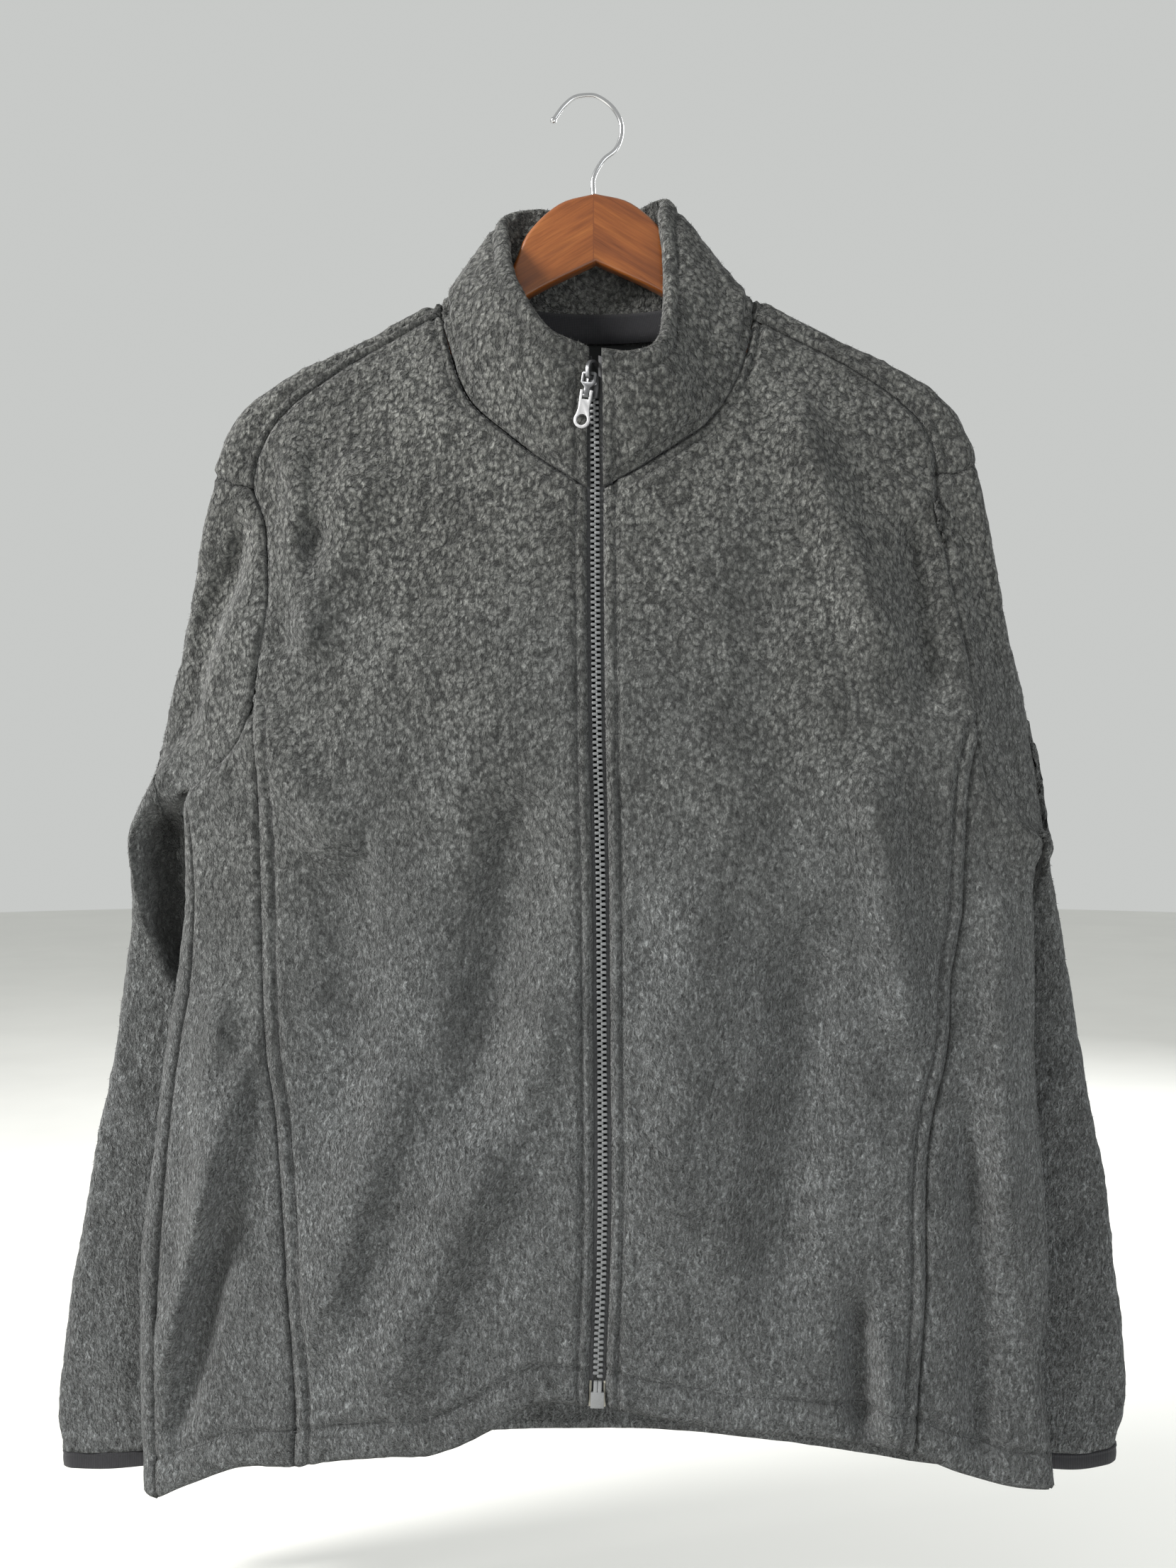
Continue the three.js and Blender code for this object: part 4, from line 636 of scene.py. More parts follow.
def sleeve_grid(name):
    across, down = FINE["sleeve"]
    sleeve = SLEEVES[name]
    seam = SEAMS[name]
    counts = [count * down for count in SLEEVE_ROWS]

    def edge_at(line):
        table = sample(line, OUTLINE_STEPS)
        return lambda z: np.stack([lookup(table, z, 1, 0), np.asarray(z, float)], axis=-1)

    outer_at, inner_at = edge_at(sleeve["outer"]), edge_at(sleeve["inner"])

    def edge_rows(top, ends, place):
        heights = [top[1]]
        for count, start, end in zip(counts, [top[1], *ends[:-1]], ends):
            heights.extend(mix(start, end, np.arange(1, count + 1) / count))
        rows = place(np.array(heights))
        rows[0] = top
        return rows

    lines = {key: sample(seam[key], STEPS[part] * across) for key, part in
             (("arm_lower", "side"), ("arm_upper", "arm_upper"), ("arm_top", "arm_top"), ("arm_back", "arm"))}
    outer = edge_rows(lines["arm_back"][0], [ring[0] for ring in sleeve["rings"]], outer_at)
    inner = edge_rows(lines["arm_back"][-1], [ring[1] for ring in sleeve["rings"]], inner_at)
    armhole_front = join(lines["arm_lower"][::-1], lines["arm_upper"][::-1], lines["arm_top"])

    def half(top, middles, side):
        guides = [top]
        for (outer_z, inner_z, _), middle in zip(sleeve["rings"], middles):
            ends = [outer_at(outer_z), inner_at(inner_z)]
            if side < 0:
                ends.reverse()
            guides.append(sample([ends[0], *middle, ends[1]], STEPS["arm"] * across))
        flat = fit_sides(guided(guides, counts), *((inner, outer) if side < 0 else (outer, inner)))
        depth = sleeve_depth(name, flat[..., 0], flat[..., 1], side)
        return np.stack([flat[..., 0], depth, flat[..., 1]], axis=-1)

    front_half = half(armhole_front, [ring[2] for ring in sleeve["rings"]], -1)
    back_half = half(lines["arm_back"], sleeve["back_rings"], 1)
    grid = np.concatenate([front_half, back_half[:, 1:-1]], axis=1)
    armhole = np.concatenate([on_front(armhole_front), on_back(lines["arm_back"][1:-1])])
    rows = np.arange(len(grid)) / (PIN_ROWS * down)
    fade = (1 - np.minimum(rows, 1)) ** 2
    return relaxed(grid + (armhole - grid[0])[None] * fade[:, None, None], RELAX_TIMES)


def relaxed(grid, times):
    """Evens out a ring's surface, with its first and last rows held."""
    for _ in range(times):
        beside = np.roll(grid, 1, axis=1) + np.roll(grid, -1, axis=1)
        grid[1:-1] = (2 * grid[1:-1] + beside[1:-1] + grid[2:] + grid[:-2]) / 6
    return grid


def collar_surface(across, rows):
    right = on_front(sample(SEAMS["right"]["neck"], STEPS["neck_front"] * across))
    left = on_front(sample(SEAMS["left"]["neck"], STEPS["neck_front"] * across))
    seam = join(right[::-1], wrap(neck_back_line(across)), left)
    share = np.linspace(0, 1, len(seam))
    top = Spline([row[1:] for row in COLLAR_TOP])
    marks = [row[0] for row in COLLAR_TOP]
    high = top.read(np.interp(share, marks, top.at))
    bulge = lookup(COLLAR_BULGE, share)
    away = unit((seam[:, :2] + high[:, :2]) / 2 - COLLAR_MIDDLE)
    rise = np.linspace(0, 1, rows + 1)[:, None, None]
    grid = mix(seam[None], high[None], rise)
    push = bulge[None, :, None] * np.sin(math.pi * rise)
    grid[..., :2] += push * away[None]
    return grid


def grid_normals(grid, turn, ring=False):
    """Outward normals of a grid of points."""
    if ring:
        padded = np.concatenate([grid[:, -1:], grid, grid[:, :1]], axis=1)
        along = padded[:, 2:] - padded[:, :-2]
    else:
        along = np.gradient(grid, axis=1)
    down = np.gradient(grid, axis=0)
    return unit(np.cross(down, along) * turn)


# Seams as lines in space, and how far each place on the cloth is from them

def seam_lines():
    lines = {}
    for name, _ in SIDES:
        seam = SEAMS[name]
        lines["zip_" + name] = on_front(zip_edge(name, LINE_STEPS["zip"]))
        for key in ("neck", "shoulder", "princess", "side", "arm_lower", "arm_upper", "arm_top"):
            lines[key + "_" + name] = on_front(sample(seam[key], LINE_STEPS["seam"]))
        lines["arm_back_" + name] = on_back(sample(seam["arm_back"], LINE_STEPS["arm_back"]))
        hem = join(*(sample(seam[key], LINE_STEPS[key]) for key in ("hem", "side_hem")))
        lines["hem_" + name] = on_front(hem)
    lines["neck_back"] = wrap(neck_back_line(LINE_STEPS["neck_back"]))
    return lines


def distance_to(points, line):
    tree = kdtree.KDTree(len(line))
    for index, point in enumerate(line):
        tree.insert(point, index)
    tree.balance()
    flat = points.reshape(-1, 3)
    return np.array([tree.find(point)[2] for point in flat]).reshape(points.shape[:-1])


def pile_height(points):
    """How the pile stands up in tufts, in millimetres."""
    return sum(height * lumps(points, size, seed) for height, size, seed in PILE_LUMPS)


def seam_painted_shade(far, stitch):
    """How much painted shade a place gets in a seam or in the groove of its topstitch, from 0 to 1."""
    depth, width = SEAM_SHADE["valley"]
    valley = depth * ridge(far, 0, width)
    if stitch:
        depth, width = SEAM_SHADE["stitch"]
        valley = np.maximum(valley, depth * ridge(far, stitch, width))
    return valley


def seam_relief(far, stitch):
    """A seam's valley, the puffed strip beside it and the groove of its topstitch."""
    depth, width = SEAM["valley"]
    relief = -depth * ridge(far, 0, width)
    if stitch:
        height, share = SEAM["puff"]
        relief += height * ridge(far, 0.5 * stitch, share * stitch)
        depth, width = SEAM["stitch"]
        relief -= depth * ridge(far, stitch, width)
        height, width, beyond = SEAM["beyond"]
        relief += height * ridge(far, stitch + beyond, width)
    return relief


# Meshes and pieces

def write_mesh(bm, mesh):
    bm.to_mesh(mesh)
    bm.free()
    return mesh


def new_mesh(bm, name):
    return write_mesh(bm, bpy.data.meshes.new(name))


def read_mesh(mesh):
    bm = bmesh.new()
    bm.from_mesh(mesh)
    return bm


def set_points(mesh, points):
    """Puts a mesh's vertices at new points in metres, and smooths its shading."""
    mesh.vertices.foreach_set("co", points.astype(np.float32).ravel())
    mesh.shade_smooth()
    mesh.update()


def store_painted_shade(mesh, valley):
    """Keeps the depth in the seams with the mesh, as painted shade for its material to darken the fleece by.
    """
    layer = mesh.attributes.new("valley", "FLOAT", "POINT")
    layer.data.foreach_set("value", valley.astype(np.float32).ravel())


def grid_mesh(name, points, turn, ring=False, valley=None):
    """A mesh of rows of points in millimetres, with its lengths in metres as UV and any painted seam shade
    kept with it.
    """
    points = np.asarray(points, float)
    if ring:
        points = np.concatenate([points, points[:, :1]], axis=1)
        valley = None if valley is None else np.concatenate([valley, valley[:, :1]], axis=1)
    rows, columns = points.shape[:2]
    bm = bmesh.new()
    bmesh.ops.create_grid(bm, x_segments=columns - 1, y_segments=rows - 1, size=1)
    mesh = new_mesh(bm, name)
    across = np.linalg.norm(np.diff(points, axis=1), axis=2).cumsum(axis=1).mean(axis=0)
    down = np.linalg.norm(np.diff(points, axis=0), axis=2).cumsum(axis=0).mean(axis=1)
    u, v = np.meshgrid(np.concatenate([[0], across]) * MM, np.concatenate([[0], down]) * MM)
    corners = np.empty(len(mesh.loops), np.int32)
    mesh.loops.foreach_get("vertex_index", corners)
    lengths = np.stack([u.ravel(), v.ravel()], axis=-1)[corners]
    mesh.uv_layers.new(name="Cloth").data.foreach_set("uv", lengths.astype(np.float32).ravel())
    if valley is not None:
        store_painted_shade(mesh, valley)
    if turn > 0:
        mesh.flip_normals()
    set_points(mesh, points * MM)
    if ring:
        weld(mesh)
    return mesh


def weld(mesh):
    bm = read_mesh(mesh)
    bmesh.ops.remove_doubles(bm, verts=bm.verts, dist=DOUBLES)
    write_mesh(bm, mesh)


def close_ends(mesh):
    """Fills the open ends of a tube-like piece."""
    bm = read_mesh(mesh)
    bmesh.ops.holes_fill(bm, edges=[edge for edge in bm.edges if edge.is_boundary], sides=0)
    write_mesh(bm, mesh)


def keep_piece(name, mesh, body, slot, material, *nodes):
    piece = bpy.data.objects.new(name, mesh)
    bpy.context.scene.collection.objects.link(piece)
    mesh.materials.append(material)
    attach(piece, body)
    if nodes:
        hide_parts(*nodes)
    return piece


def thicken(piece, thickness):
    solid = piece.modifiers.new("Cloth thickness", "SOLIDIFY")
    solid.thickness = thickness
    solid.offset = -1
    solid.use_rim = True


def repeat(name, template, places):
    """One mesh with a copy of a small one at each place."""
    bm = bmesh.new()
    for _ in range(len(places)):
        bm.from_mesh(template)
    mesh = new_mesh(bm, name)
    corners = np.array([[*vertex.co, 1] for vertex in template.vertices])
    turns = np.array([np.array(place) for place in places])
    set_points(mesh, np.einsum("pij,vj->pvi", turns, corners)[..., :3])
    return mesh


def rounded_block(name, size, radius, segments=2):
    """A small block with rounded edges, its size in millimetres."""
    bm = bmesh.new()
    bmesh.ops.create_cube(bm, size=1, matrix=Matrix.Diagonal((*[value * MM for value in size], 1)))
    bmesh.ops.bevel(bm, geom=bm.edges[:], offset=radius * MM, affect="EDGES", segments=segments, profile=0.5,
                    material=-1)
    return new_mesh(bm, name)


def place_at(origin, across, up, out):
    """A matrix that stands a piece at a point in millimetres, along three directions."""
    matrix = Matrix((across, up, out)).transposed().to_4x4()
    matrix.translation = Vector(origin) * MM
    return matrix


def surface_tree(pieces):
    """The outer surface of some pieces, for laying stitches on."""
    vertices, faces = [], []
    for piece in pieces:
        start = len(vertices)
        vertices.extend(vertex.co.copy() for vertex in piece.data.vertices)
        faces.extend([start + index for index in polygon.vertices] for polygon in piece.data.polygons)
    return BVHTree.FromPolygons(vertices, faces)


def stitch_places(line, tree):
    """Places for stitches along a line that is laid on the nearest cloth."""
    length, gap, sink = THREAD["size"][1], THREAD["gap"], THREAD["sink"]
    curve = Spline(line)
    count = max(1, int(curve.at[-1] / (length + gap)))
    starts = np.linspace(0, curve.at[-1] - length, count)
    places = []
    for a, b in zip(curve.read(starts), curve.read(starts + length)):
        found_a = tree.find_nearest(Vector(a) * MM)
        found_b = tree.find_nearest(Vector(b) * MM)
        along = found_b[0] - found_a[0]
        if along.length < DOUBLES:
            continue
        along.normalize()
        out = (found_a[1] + found_b[1]).normalized()
        across = along.cross(out).normalized()
        middle = (found_a[0] + found_b[0]) / 2 - out * sink * MM
        places.append(place_at(middle / MM, across, along, across.cross(along)))
    return places


# Shader nodes

def add_node(tree, kind, inputs=None, **settings):
    node = tree.nodes.new(kind)
    for key, value in settings.items():
        setattr(node, key, value)
    for key, value in (inputs or {}).items():
        if isinstance(value, bpy.types.NodeSocket):
            tree.links.new(value, node.inputs[key])
        else:
            node.inputs[key].default_value = value
    return node


def math_node(tree, operation, a, b=0.0):
    return add_node(tree, "ShaderNodeMath", {0: a, 1: b}, operation=operation).outputs[0]


def times(tree, a, b):
    return math_node(tree, "MULTIPLY", a, b)


def plus(tree, a, b):
    return math_node(tree, "ADD", a, b)


def remap(tree, value, low, high, to_low=0.0, to_high=1.0, smooth_ends=False):
    inputs = {"Value": value, "From Min": low, "From Max": high, "To Min": to_low, "To Max": to_high}
    kind = "SMOOTHSTEP" if smooth_ends else "LINEAR"
    return add_node(tree, "ShaderNodeMapRange", inputs, interpolation_type=kind).outputs[0]


def blend_values(tree, share, a, b):
    inputs = {0: share, 2: a, 3: b}
    return add_node(tree, "ShaderNodeMix", inputs, data_type="FLOAT").outputs[0]


def blend_colours(tree, share, a, b, how="MIX"):
    inputs = {0: share, 6: a, 7: b}
    return add_node(tree, "ShaderNodeMix", inputs, data_type="RGBA", blend_type=how).outputs[2]


def tinted(tree, a, b):
    return blend_colours(tree, 1.0, a, b, "MULTIPLY")


def noise(tree, vector, scale, detail=2.0, roughness=0.5, distortion=0.0):
    inputs = {"Vector": vector, "Scale": scale, "Detail": detail, "Roughness": roughness,
              "Distortion": distortion}
    return add_node(tree, "ShaderNodeTexNoise", inputs).outputs["Fac"]


def stretched(tree, vector, scale, turn=(0, 0, 0)):
    inputs = {"Vector": vector, "Rotation": turn, "Scale": scale}
    return add_node(tree, "ShaderNodeMapping", inputs).outputs[0]


def ramp(tree, value, stops):
    node = add_node(tree, "ShaderNodeValToRGB", {0: value})
    elements = node.color_ramp.elements
    while len(elements) < len(stops):
        elements.new(0.5)
    for element, (position, colour) in zip(elements, stops):
        element.position = position
        element.color = (*colour, 1)
    return node.outputs[0]


def new_group(name, inputs, outputs):
    group = bpy.data.node_groups.new(name, "ShaderNodeTree")
    for socket_name, kind, default in inputs:
        socket = group.interface.new_socket(socket_name, in_out="INPUT", socket_type=kind)
        if default is not None:
            socket.default_value = default
    for socket_name, kind in outputs:
        group.interface.new_socket(socket_name, in_out="OUTPUT", socket_type=kind)
    return group, group.nodes.new("NodeGroupInput").outputs, group.nodes.new("NodeGroupOutput").inputs


def shared_group(name, build):
    return bpy.data.node_groups.get(name) or build(name)


def put_out(group, outputs, **values):
    """Links a group's results to its outputs and gives the group back."""
    for key, value in values.items():
        group.links.new(value, outputs[key])
    return group


def build_nap(name):
    """Curled pile: short curls on the chest, brushed strokes lower down."""
    group, inputs, outputs = new_group(
        name,
        [("Vector", "NodeSocketVector", None), ("Curl Scale", "NodeSocketFloat", 250.0),
         ("Brushed Below", "NodeSocketFloat", -0.5)],
        [("Height", "NodeSocketFloat"), ("Heather", "NodeSocketFloat"), ("Cloud", "NodeSocketFloat"),
         ("Low", "NodeSocketFloat")])
    vector = inputs["Vector"]
    warp = add_node(group, "ShaderNodeTexNoise", {"Vector": vector, "Scale": 300.0, "Detail": 1.5})
    shift = add_node(group, "ShaderNodeVectorMath", {0: warp.outputs["Color"], 1: (0.0042, 0.0042, 0.0042)},
                     operation="MULTIPLY").outputs[0]
    bent = add_node(group, "ShaderNodeVectorMath", {0: vector, 1: shift}, operation="ADD").outputs[0]
    curl_vector = stretched(group, bent, (1.0, 1.0, 0.75))
    cell_inputs = {"Vector": curl_vector, "Scale": inputs["Curl Scale"], "Smoothness": 0.25}
    cells = add_node(group, "ShaderNodeTexVoronoi", cell_inputs, feature="SMOOTH_F1").outputs["Distance"]
    domes = math_node(group, "SUBTRACT", 1.0, times(group, cells, cells))
    domes = remap(group, domes, 0.52, 1.0)
    wander = noise(group, stretched(group, bent, (420.0, 420.0, 290.0)), 1.0, 3.0, 0.62)
    curls = plus(group, times(group, domes, 0.62), remap(group, wander, 0.28, 0.72, 0.0, 0.5))
    strokes = noise(group, stretched(group, bent, (640.0, 640.0, 200.0), (0.0, 0.22, 0.0)), 1.0, 3.0, 0.62)
    strokes = remap(group, strokes, 0.28, 0.72)
    fibres = noise(group, stretched(group, vector, (1.0, 1.0, 0.5)), 1500.0, 2.5, 0.65)
    height_z = add_node(group, "ShaderNodeSeparateXYZ", {0: vector}).outputs[2]
    height_z = plus(group, height_z, times(group, noise(group, vector, 7.0, 2.0), 0.3))
    low_edge = math_node(group, "SUBTRACT", inputs["Brushed Below"], 0.02)
    high_edge = plus(group, inputs["Brushed Below"], 0.42)
    low = remap(group, height_z, high_edge, low_edge, 0.0, 1.0, True)
    pile = blend_values(group, times(group, low, 0.85), curls, strokes)
    fine = times(group, math_node(group, "SUBTRACT", fibres, 0.5), 0.8)
    heather = noise(group, stretched(group, bent, (1.0, 1.0, 0.35)), 800.0, 2.0, 0.7)
    cloud = noise(group, stretched(group, vector, (1.0, 1.0, 0.6)), 28.0, 5.0, 0.72)
    # Low marks the brushed lower part, which the fleece material also paints lighter and bluer as painted
    # light.
    return put_out(group, outputs, Height=plus(group, pile, fine), Heather=heather, Cloud=cloud, Low=low)


def build_weave(name):
    """Crossed threads that follow a piece's own UV lengths."""
    group, inputs, outputs = new_group(
        name,
        [("Vector", "NodeSocketVector", None), ("Across", "NodeSocketFloat", 2500.0),
         ("Down", "NodeSocketFloat", 2500.0)],
        [("Height", "NodeSocketFloat"), ("Shade", "NodeSocketFloat")])
    parts = add_node(group, "ShaderNodeSeparateXYZ", {0: inputs["Vector"]}).outputs
    across, down = (math_node(group, "SINE", times(group, part, times(group, inputs[key], math.tau)))
                    for part, key in ((parts[0], "Across"), (parts[1], "Down")))
    both = plus(group, times(group, across, down), times(group, plus(group, across, down), 0.5))
    height = remap(group, both, -1.5, 1.5)
    patch = noise(group, inputs["Vector"], 400.0, 3.0)
    # Shade is half the threads' height, a painted shade and highlight on the weave, and half random patches
    # of tone.
    shade = plus(group, times(group, height, 0.5), times(group, patch, 0.5))
    return put_out(group, outputs, Height=height, Shade=shade)


def build_speckle(name):
    """Fine unevenness of paint, plastic and metal: mottle, and rubbed places."""
    group, inputs, outputs = new_group(
        name,
        [("Vector", "NodeSocketVector", None), ("Scale", "NodeSocketFloat", 900.0)],
        [("Mottle", "NodeSocketFloat"), ("Rubbed", "NodeSocketFloat")])
    mottle = noise(group, inputs["Vector"], inputs["Scale"], 3.0, 0.6)
    rubbed = noise(group, inputs["Vector"], times(group, inputs["Scale"], 0.3), 4.0, 0.7)
    return put_out(group, outputs, Mottle=mottle, Rubbed=remap(group, rubbed, 0.55, 0.75))


def start_material(name):
    material = bpy.data.materials.new(name)
    material.use_nodes = True
    tree = material.node_tree
    shader = next(node for node in tree.nodes if node.type == "BSDF_PRINCIPLED")
    places = add_node(tree, "ShaderNodeTexCoord").outputs
    return material, tree, shader, places


def use_group(tree, group, **inputs):
    inputs = {key.replace("_", " "): value for key, value in inputs.items()}
    return add_node(tree, "ShaderNodeGroup", inputs, node_tree=group).outputs


def set_shader(shader, **values):
    """Sets what is the same all over a surface on the shader's own sockets."""
    for key, value in values.items():
        shader.inputs[key.replace("_", " ")].default_value = value


def set_bump(tree, shader, height, distance):
    bump = add_node(tree, "ShaderNodeBump", {"Height": height, "Distance": distance})
    tree.links.new(bump.outputs[0], shader.inputs["Normal"])


def shades(colour, spread):
    """A darker and a lighter shade of a colour."""
    return [tuple(min(1, value * (1 + sign * spread)) for value in colour) for sign in (-1, 1)]


def fleece_material():
    known = bpy.data.materials.get("Charcoal heather fleece")
    if known:
        return known
    settings = bpy.context.scene.jacket_cloth
    material, tree, shader, places = start_material("Charcoal heather fleece")
    nap = use_group(tree, shared_group("Curled nap", build_nap), Vector=places["Object"],
                    Curl_Scale=settings.curl_scale)
    dark, middle, light = settings.fleece_shade, settings.fleece_colour, settings.fleece_lit_tips
    # The pile's height sets its colour: painted shade in the troughs between the curls and a painted
    # highlight on the tips.
    pile = ramp(tree, remap(tree, nap["Height"], -0.05, 1.15), [(0.14, dark), (0.5, middle), (0.95, light)])
    # Heather and Cloud vary the fibres' tone at random; the Low ramp is painted light, darker and warmer high
    # up and lighter and bluer lower down.
    for mask, stops in (("Heather", [(0.34, (0.6, 0.6, 0.6)), (0.66, (1.45, 1.45, 1.45))]),
                        ("Cloud", [(0.32, (0.68, 0.68, 0.68)), (0.68, (1.32, 1.32, 1.32))]),
                        ("Low", [(0.0, (0.86, 0.855, 0.815)), (1.0, (1.08, 1.115, 1.16))])):
        pile = tinted(tree, pile, ramp(tree, nap[mask], stops))
    # Painted shade: the seams, the stitch grooves and the hollow under the arm are darkened towards the
    # pile's shade colour.
    valley = add_node(tree, "ShaderNodeAttribute", attribute_name="valley").outputs["Fac"]
    pile = blend_colours(tree, times(tree, valley, 0.6), pile, (*dark, 1))
    tree.links.new(pile, shader.inputs["Base Color"])
    set_shader(shader, Roughness=0.95, Sheen_Weight=0.3, Sheen_Roughness=0.45,
               Sheen_Tint=(0.75, 0.76, 0.76, 1), Specular_IOR_Level=0.12)
    set_bump(tree, shader, nap["Height"], 0.0058)
    return material


def woven_material(name, colour, across, down, depth=0.0003, roughness=0.75, contrast=0.5):
    known = bpy.data.materials.get(name)
    if known:
        return known
    material, tree, shader, places = start_material(name)
    weave = use_group(tree, shared_group("Crossed threads", build_weave), Vector=places["UV"], Across=across,
                      Down=down)
    dark, light = shades(colour, contrast)
    tree.links.new(ramp(tree, weave["Shade"], [(0.2, dark), (0.8, light)]), shader.inputs["Base Color"])
    set_shader(shader, Roughness=roughness, Sheen_Weight=0.1, Specular_IOR_Level=0.3)
    set_bump(tree, shader, weave["Height"], depth)
    return material


def hard_material(name, colour, roughness, metallic=0.0, scale=900.0, rubbed=0.12, depth=0.00004):
    known = bpy.data.materials.get(name)
    if known:
        return known
    material, tree, shader, places = start_material(name)
    speckle = use_group(tree, shared_group("Speckle", build_speckle), Vector=places["Object"], Scale=scale)
    dark, light = shades(colour, rubbed)
    body = ramp(tree, speckle["Mottle"], [(0.3, dark), (0.7, light)])
    body = blend_colours(tree, speckle["Rubbed"], body, (*shades(colour, 2 * rubbed)[1], 1))
    tree.links.new(body, shader.inputs["Base Color"])
    rough = remap(tree, speckle["Mottle"], 0.2, 0.8, roughness * 0.85, roughness * 1.15)
    tree.links.new(rough, shader.inputs["Roughness"])
    set_shader(shader, Metallic=metallic)
    set_bump(tree, shader, speckle["Mottle"], depth)
    return material


def wood_material():
    settings = bpy.context.scene.jacket_hanger
    material, tree, shader, places = start_material("Satin red brown lacquer")
    parts = add_node(tree, "ShaderNodeSeparateXYZ", {0: places["Object"]}).outputs
    away = math_node(tree, "ABSOLUTE", parts[0])
    cos, sin = math.cos(GRAIN_SLOPE), math.sin(GRAIN_SLOPE)
    along = plus(tree, times(tree, away, cos), times(tree, parts[2], -sin))
    over = plus(tree, times(tree, away, sin), times(tree, parts[2], cos))
    which = times(tree, math_node(tree, "GREATER_THAN", parts[0], 0.0), 0.37)
    grain_place = add_node(tree, "ShaderNodeCombineXYZ", {0: plus(tree, along, which), 1: parts[1],
                                                         2: plus(tree, over, which)}).outputs[0]
    broad = noise(tree, stretched(tree, grain_place, (9.0, 60.0, 75.0)), 1.0, 4.0, 0.55, 1.2)
    fine = noise(tree, stretched(tree, grain_place, (45.0, 700.0, 900.0)), 1.0, 3.0, 0.6)
    dark, colour, light = settings.wood_dark, settings.wood_colour, settings.wood_light
    grain = ramp(tree, broad, [(0.28, dark), (0.5, colour), (0.74, light)])
    grain = tinted(tree, grain, ramp(tree, fine, [(0.3, (0.78, 0.74, 0.7)), (0.6, (1.06, 1.06, 1.06))]))
    streak = noise(tree, stretched(tree, grain_place, (14.0, 60.0, 130.0)), 1.0, 2.0, 0.4, 0.8)
    streak = times(tree, remap(tree, streak, 0.64, 0.72), 0.55)
    mitre = times(tree, remap(tree, away, 0.0005, 0.0001), 0.75)
    for mask in (streak, mitre):
        grain = blend_colours(tree, mask, grain, (*dark, 1))
    tree.links.new(grain, shader.inputs["Base Color"])
    tree.links.new(remap(tree, fine, 0.2, 0.8, 0.26, 0.4), shader.inputs["Roughness"])
    set_shader(shader, Coat_Weight=0.35, Coat_Roughness=0.18)
    set_bump(tree, shader, fine, 0.00006)
    return material


# What a user would change

class JacketCloth(bpy.types.PropertyGroup):
    thickness: FloatProperty(name="Fleece thickness", description="Thickness of one layer of fleece",
                             default=0.0023, subtype="DISTANCE", unit="LENGTH")
    pile: FloatProperty(name="Pile", description="How strongly the pile stands up in tufts", default=1.0)
    curl_scale: FloatProperty(name="Curls per metre", description="How many curls of pile lie in a metre",
                              default=340.0)
    # Painted shade between the curls and in the seams.
    fleece_shade: FloatVectorProperty(name="Pile shade", description="Colour between the curls", size=3,
                                     subtype="COLOR", default=(0.014, 0.0145, 0.0145))
    fleece_colour: FloatVectorProperty(name="Fleece", description="Main colour of the heather fleece", size=3,
                                       subtype="COLOR", default=(0.105, 0.1075, 0.105))
    # Painted highlight on the tips of the pile.
    fleece_lit_tips: FloatVectorProperty(name="Lit pile tips", description="Colour of the tips of the pile", size=3,
                                      subtype="COLOR", default=(0.34, 0.345, 0.34))
    binding: FloatVectorProperty(name="Binding", description="Colour of the smooth cuff binding", size=3,
                                 subtype="COLOR", default=(0.022, 0.022, 0.026))
    facing: FloatVectorProperty(name="Facing", description="Colour of the facing inside the back", size=3,
                                subtype="COLOR", default=(0.008, 0.009, 0.01))
    pocket: FloatVectorProperty(name="Pocket cloth", description="Colour of the pocket bags", size=3,
                                subtype="COLOR", default=(0.03, 0.03, 0.033))


class JacketZip(bpy.types.PropertyGroup):
    tape: FloatVectorProperty(name="Tape", description="Colour of the woven tape", size=3, subtype="COLOR",
                              default=(0.07, 0.071, 0.075))
    teeth: FloatVectorProperty(name="Teeth", description="Colour of the moulded teeth", size=3,
                               subtype="COLOR", default=(0.15, 0.155, 0.16))
    box: FloatVectorProperty(name="Box", description="Colour of the box and pins", size=3, subtype="COLOR",
                             default=(0.2, 0.205, 0.21))
    slider: FloatVectorProperty(name="Slider", description="Colour of the slider and link", size=3,
                                subtype="COLOR", default=(0.11, 0.112, 0.118))
    pull: FloatVectorProperty(name="Pull", description="Colour of the pull tab", size=3, subtype="COLOR",
                              default=(0.34, 0.34, 0.35))
    pitch: FloatProperty(name="Tooth pitch", description="From one tooth to the next on one side",
                         default=0.0034, subtype="DISTANCE", unit="LENGTH")


class JacketHanger(bpy.types.PropertyGroup):
    wood_dark: FloatVectorProperty(name="Dark grain", description="Darkest grain of the wood", size=3,
                                   subtype="COLOR", default=(0.125, 0.033, 0.007))
    wood_colour: FloatVectorProperty(name="Wood", description="Main colour of the lacquered wood", size=3,
                                     subtype="COLOR", default=(0.2, 0.058, 0.011))
    wood_light: FloatVectorProperty(name="Light grain", description="Lightest grain of the wood", size=3,
                                    subtype="COLOR", default=(0.265, 0.088, 0.019))
    wire: FloatProperty(name="Hook wire", description="Radius of the hook's wire", default=0.00145,
                        subtype="DISTANCE", unit="LENGTH")


class JacketStudio(bpy.types.PropertyGroup):
    key_power: FloatProperty(name="Key light", description="Power of the main soft light", default=74.0,
                             subtype="POWER", unit="POWER")
    fill_power: FloatProperty(name="Fill light", description="Power of the soft light opposite", default=10.0,
                              subtype="POWER", unit="POWER")
    sky: FloatProperty(name="Surround", description="Strength of the even light all round", default=0.6)
    floor_drop: FloatProperty(name="Floor", description="How far below the hook's inner top the floor lies",
                              default=0.95, subtype="DISTANCE", unit="LENGTH")


# Each panel's surface is worked out once and kept, as the zip and the linings read it too.
PANELS = {}


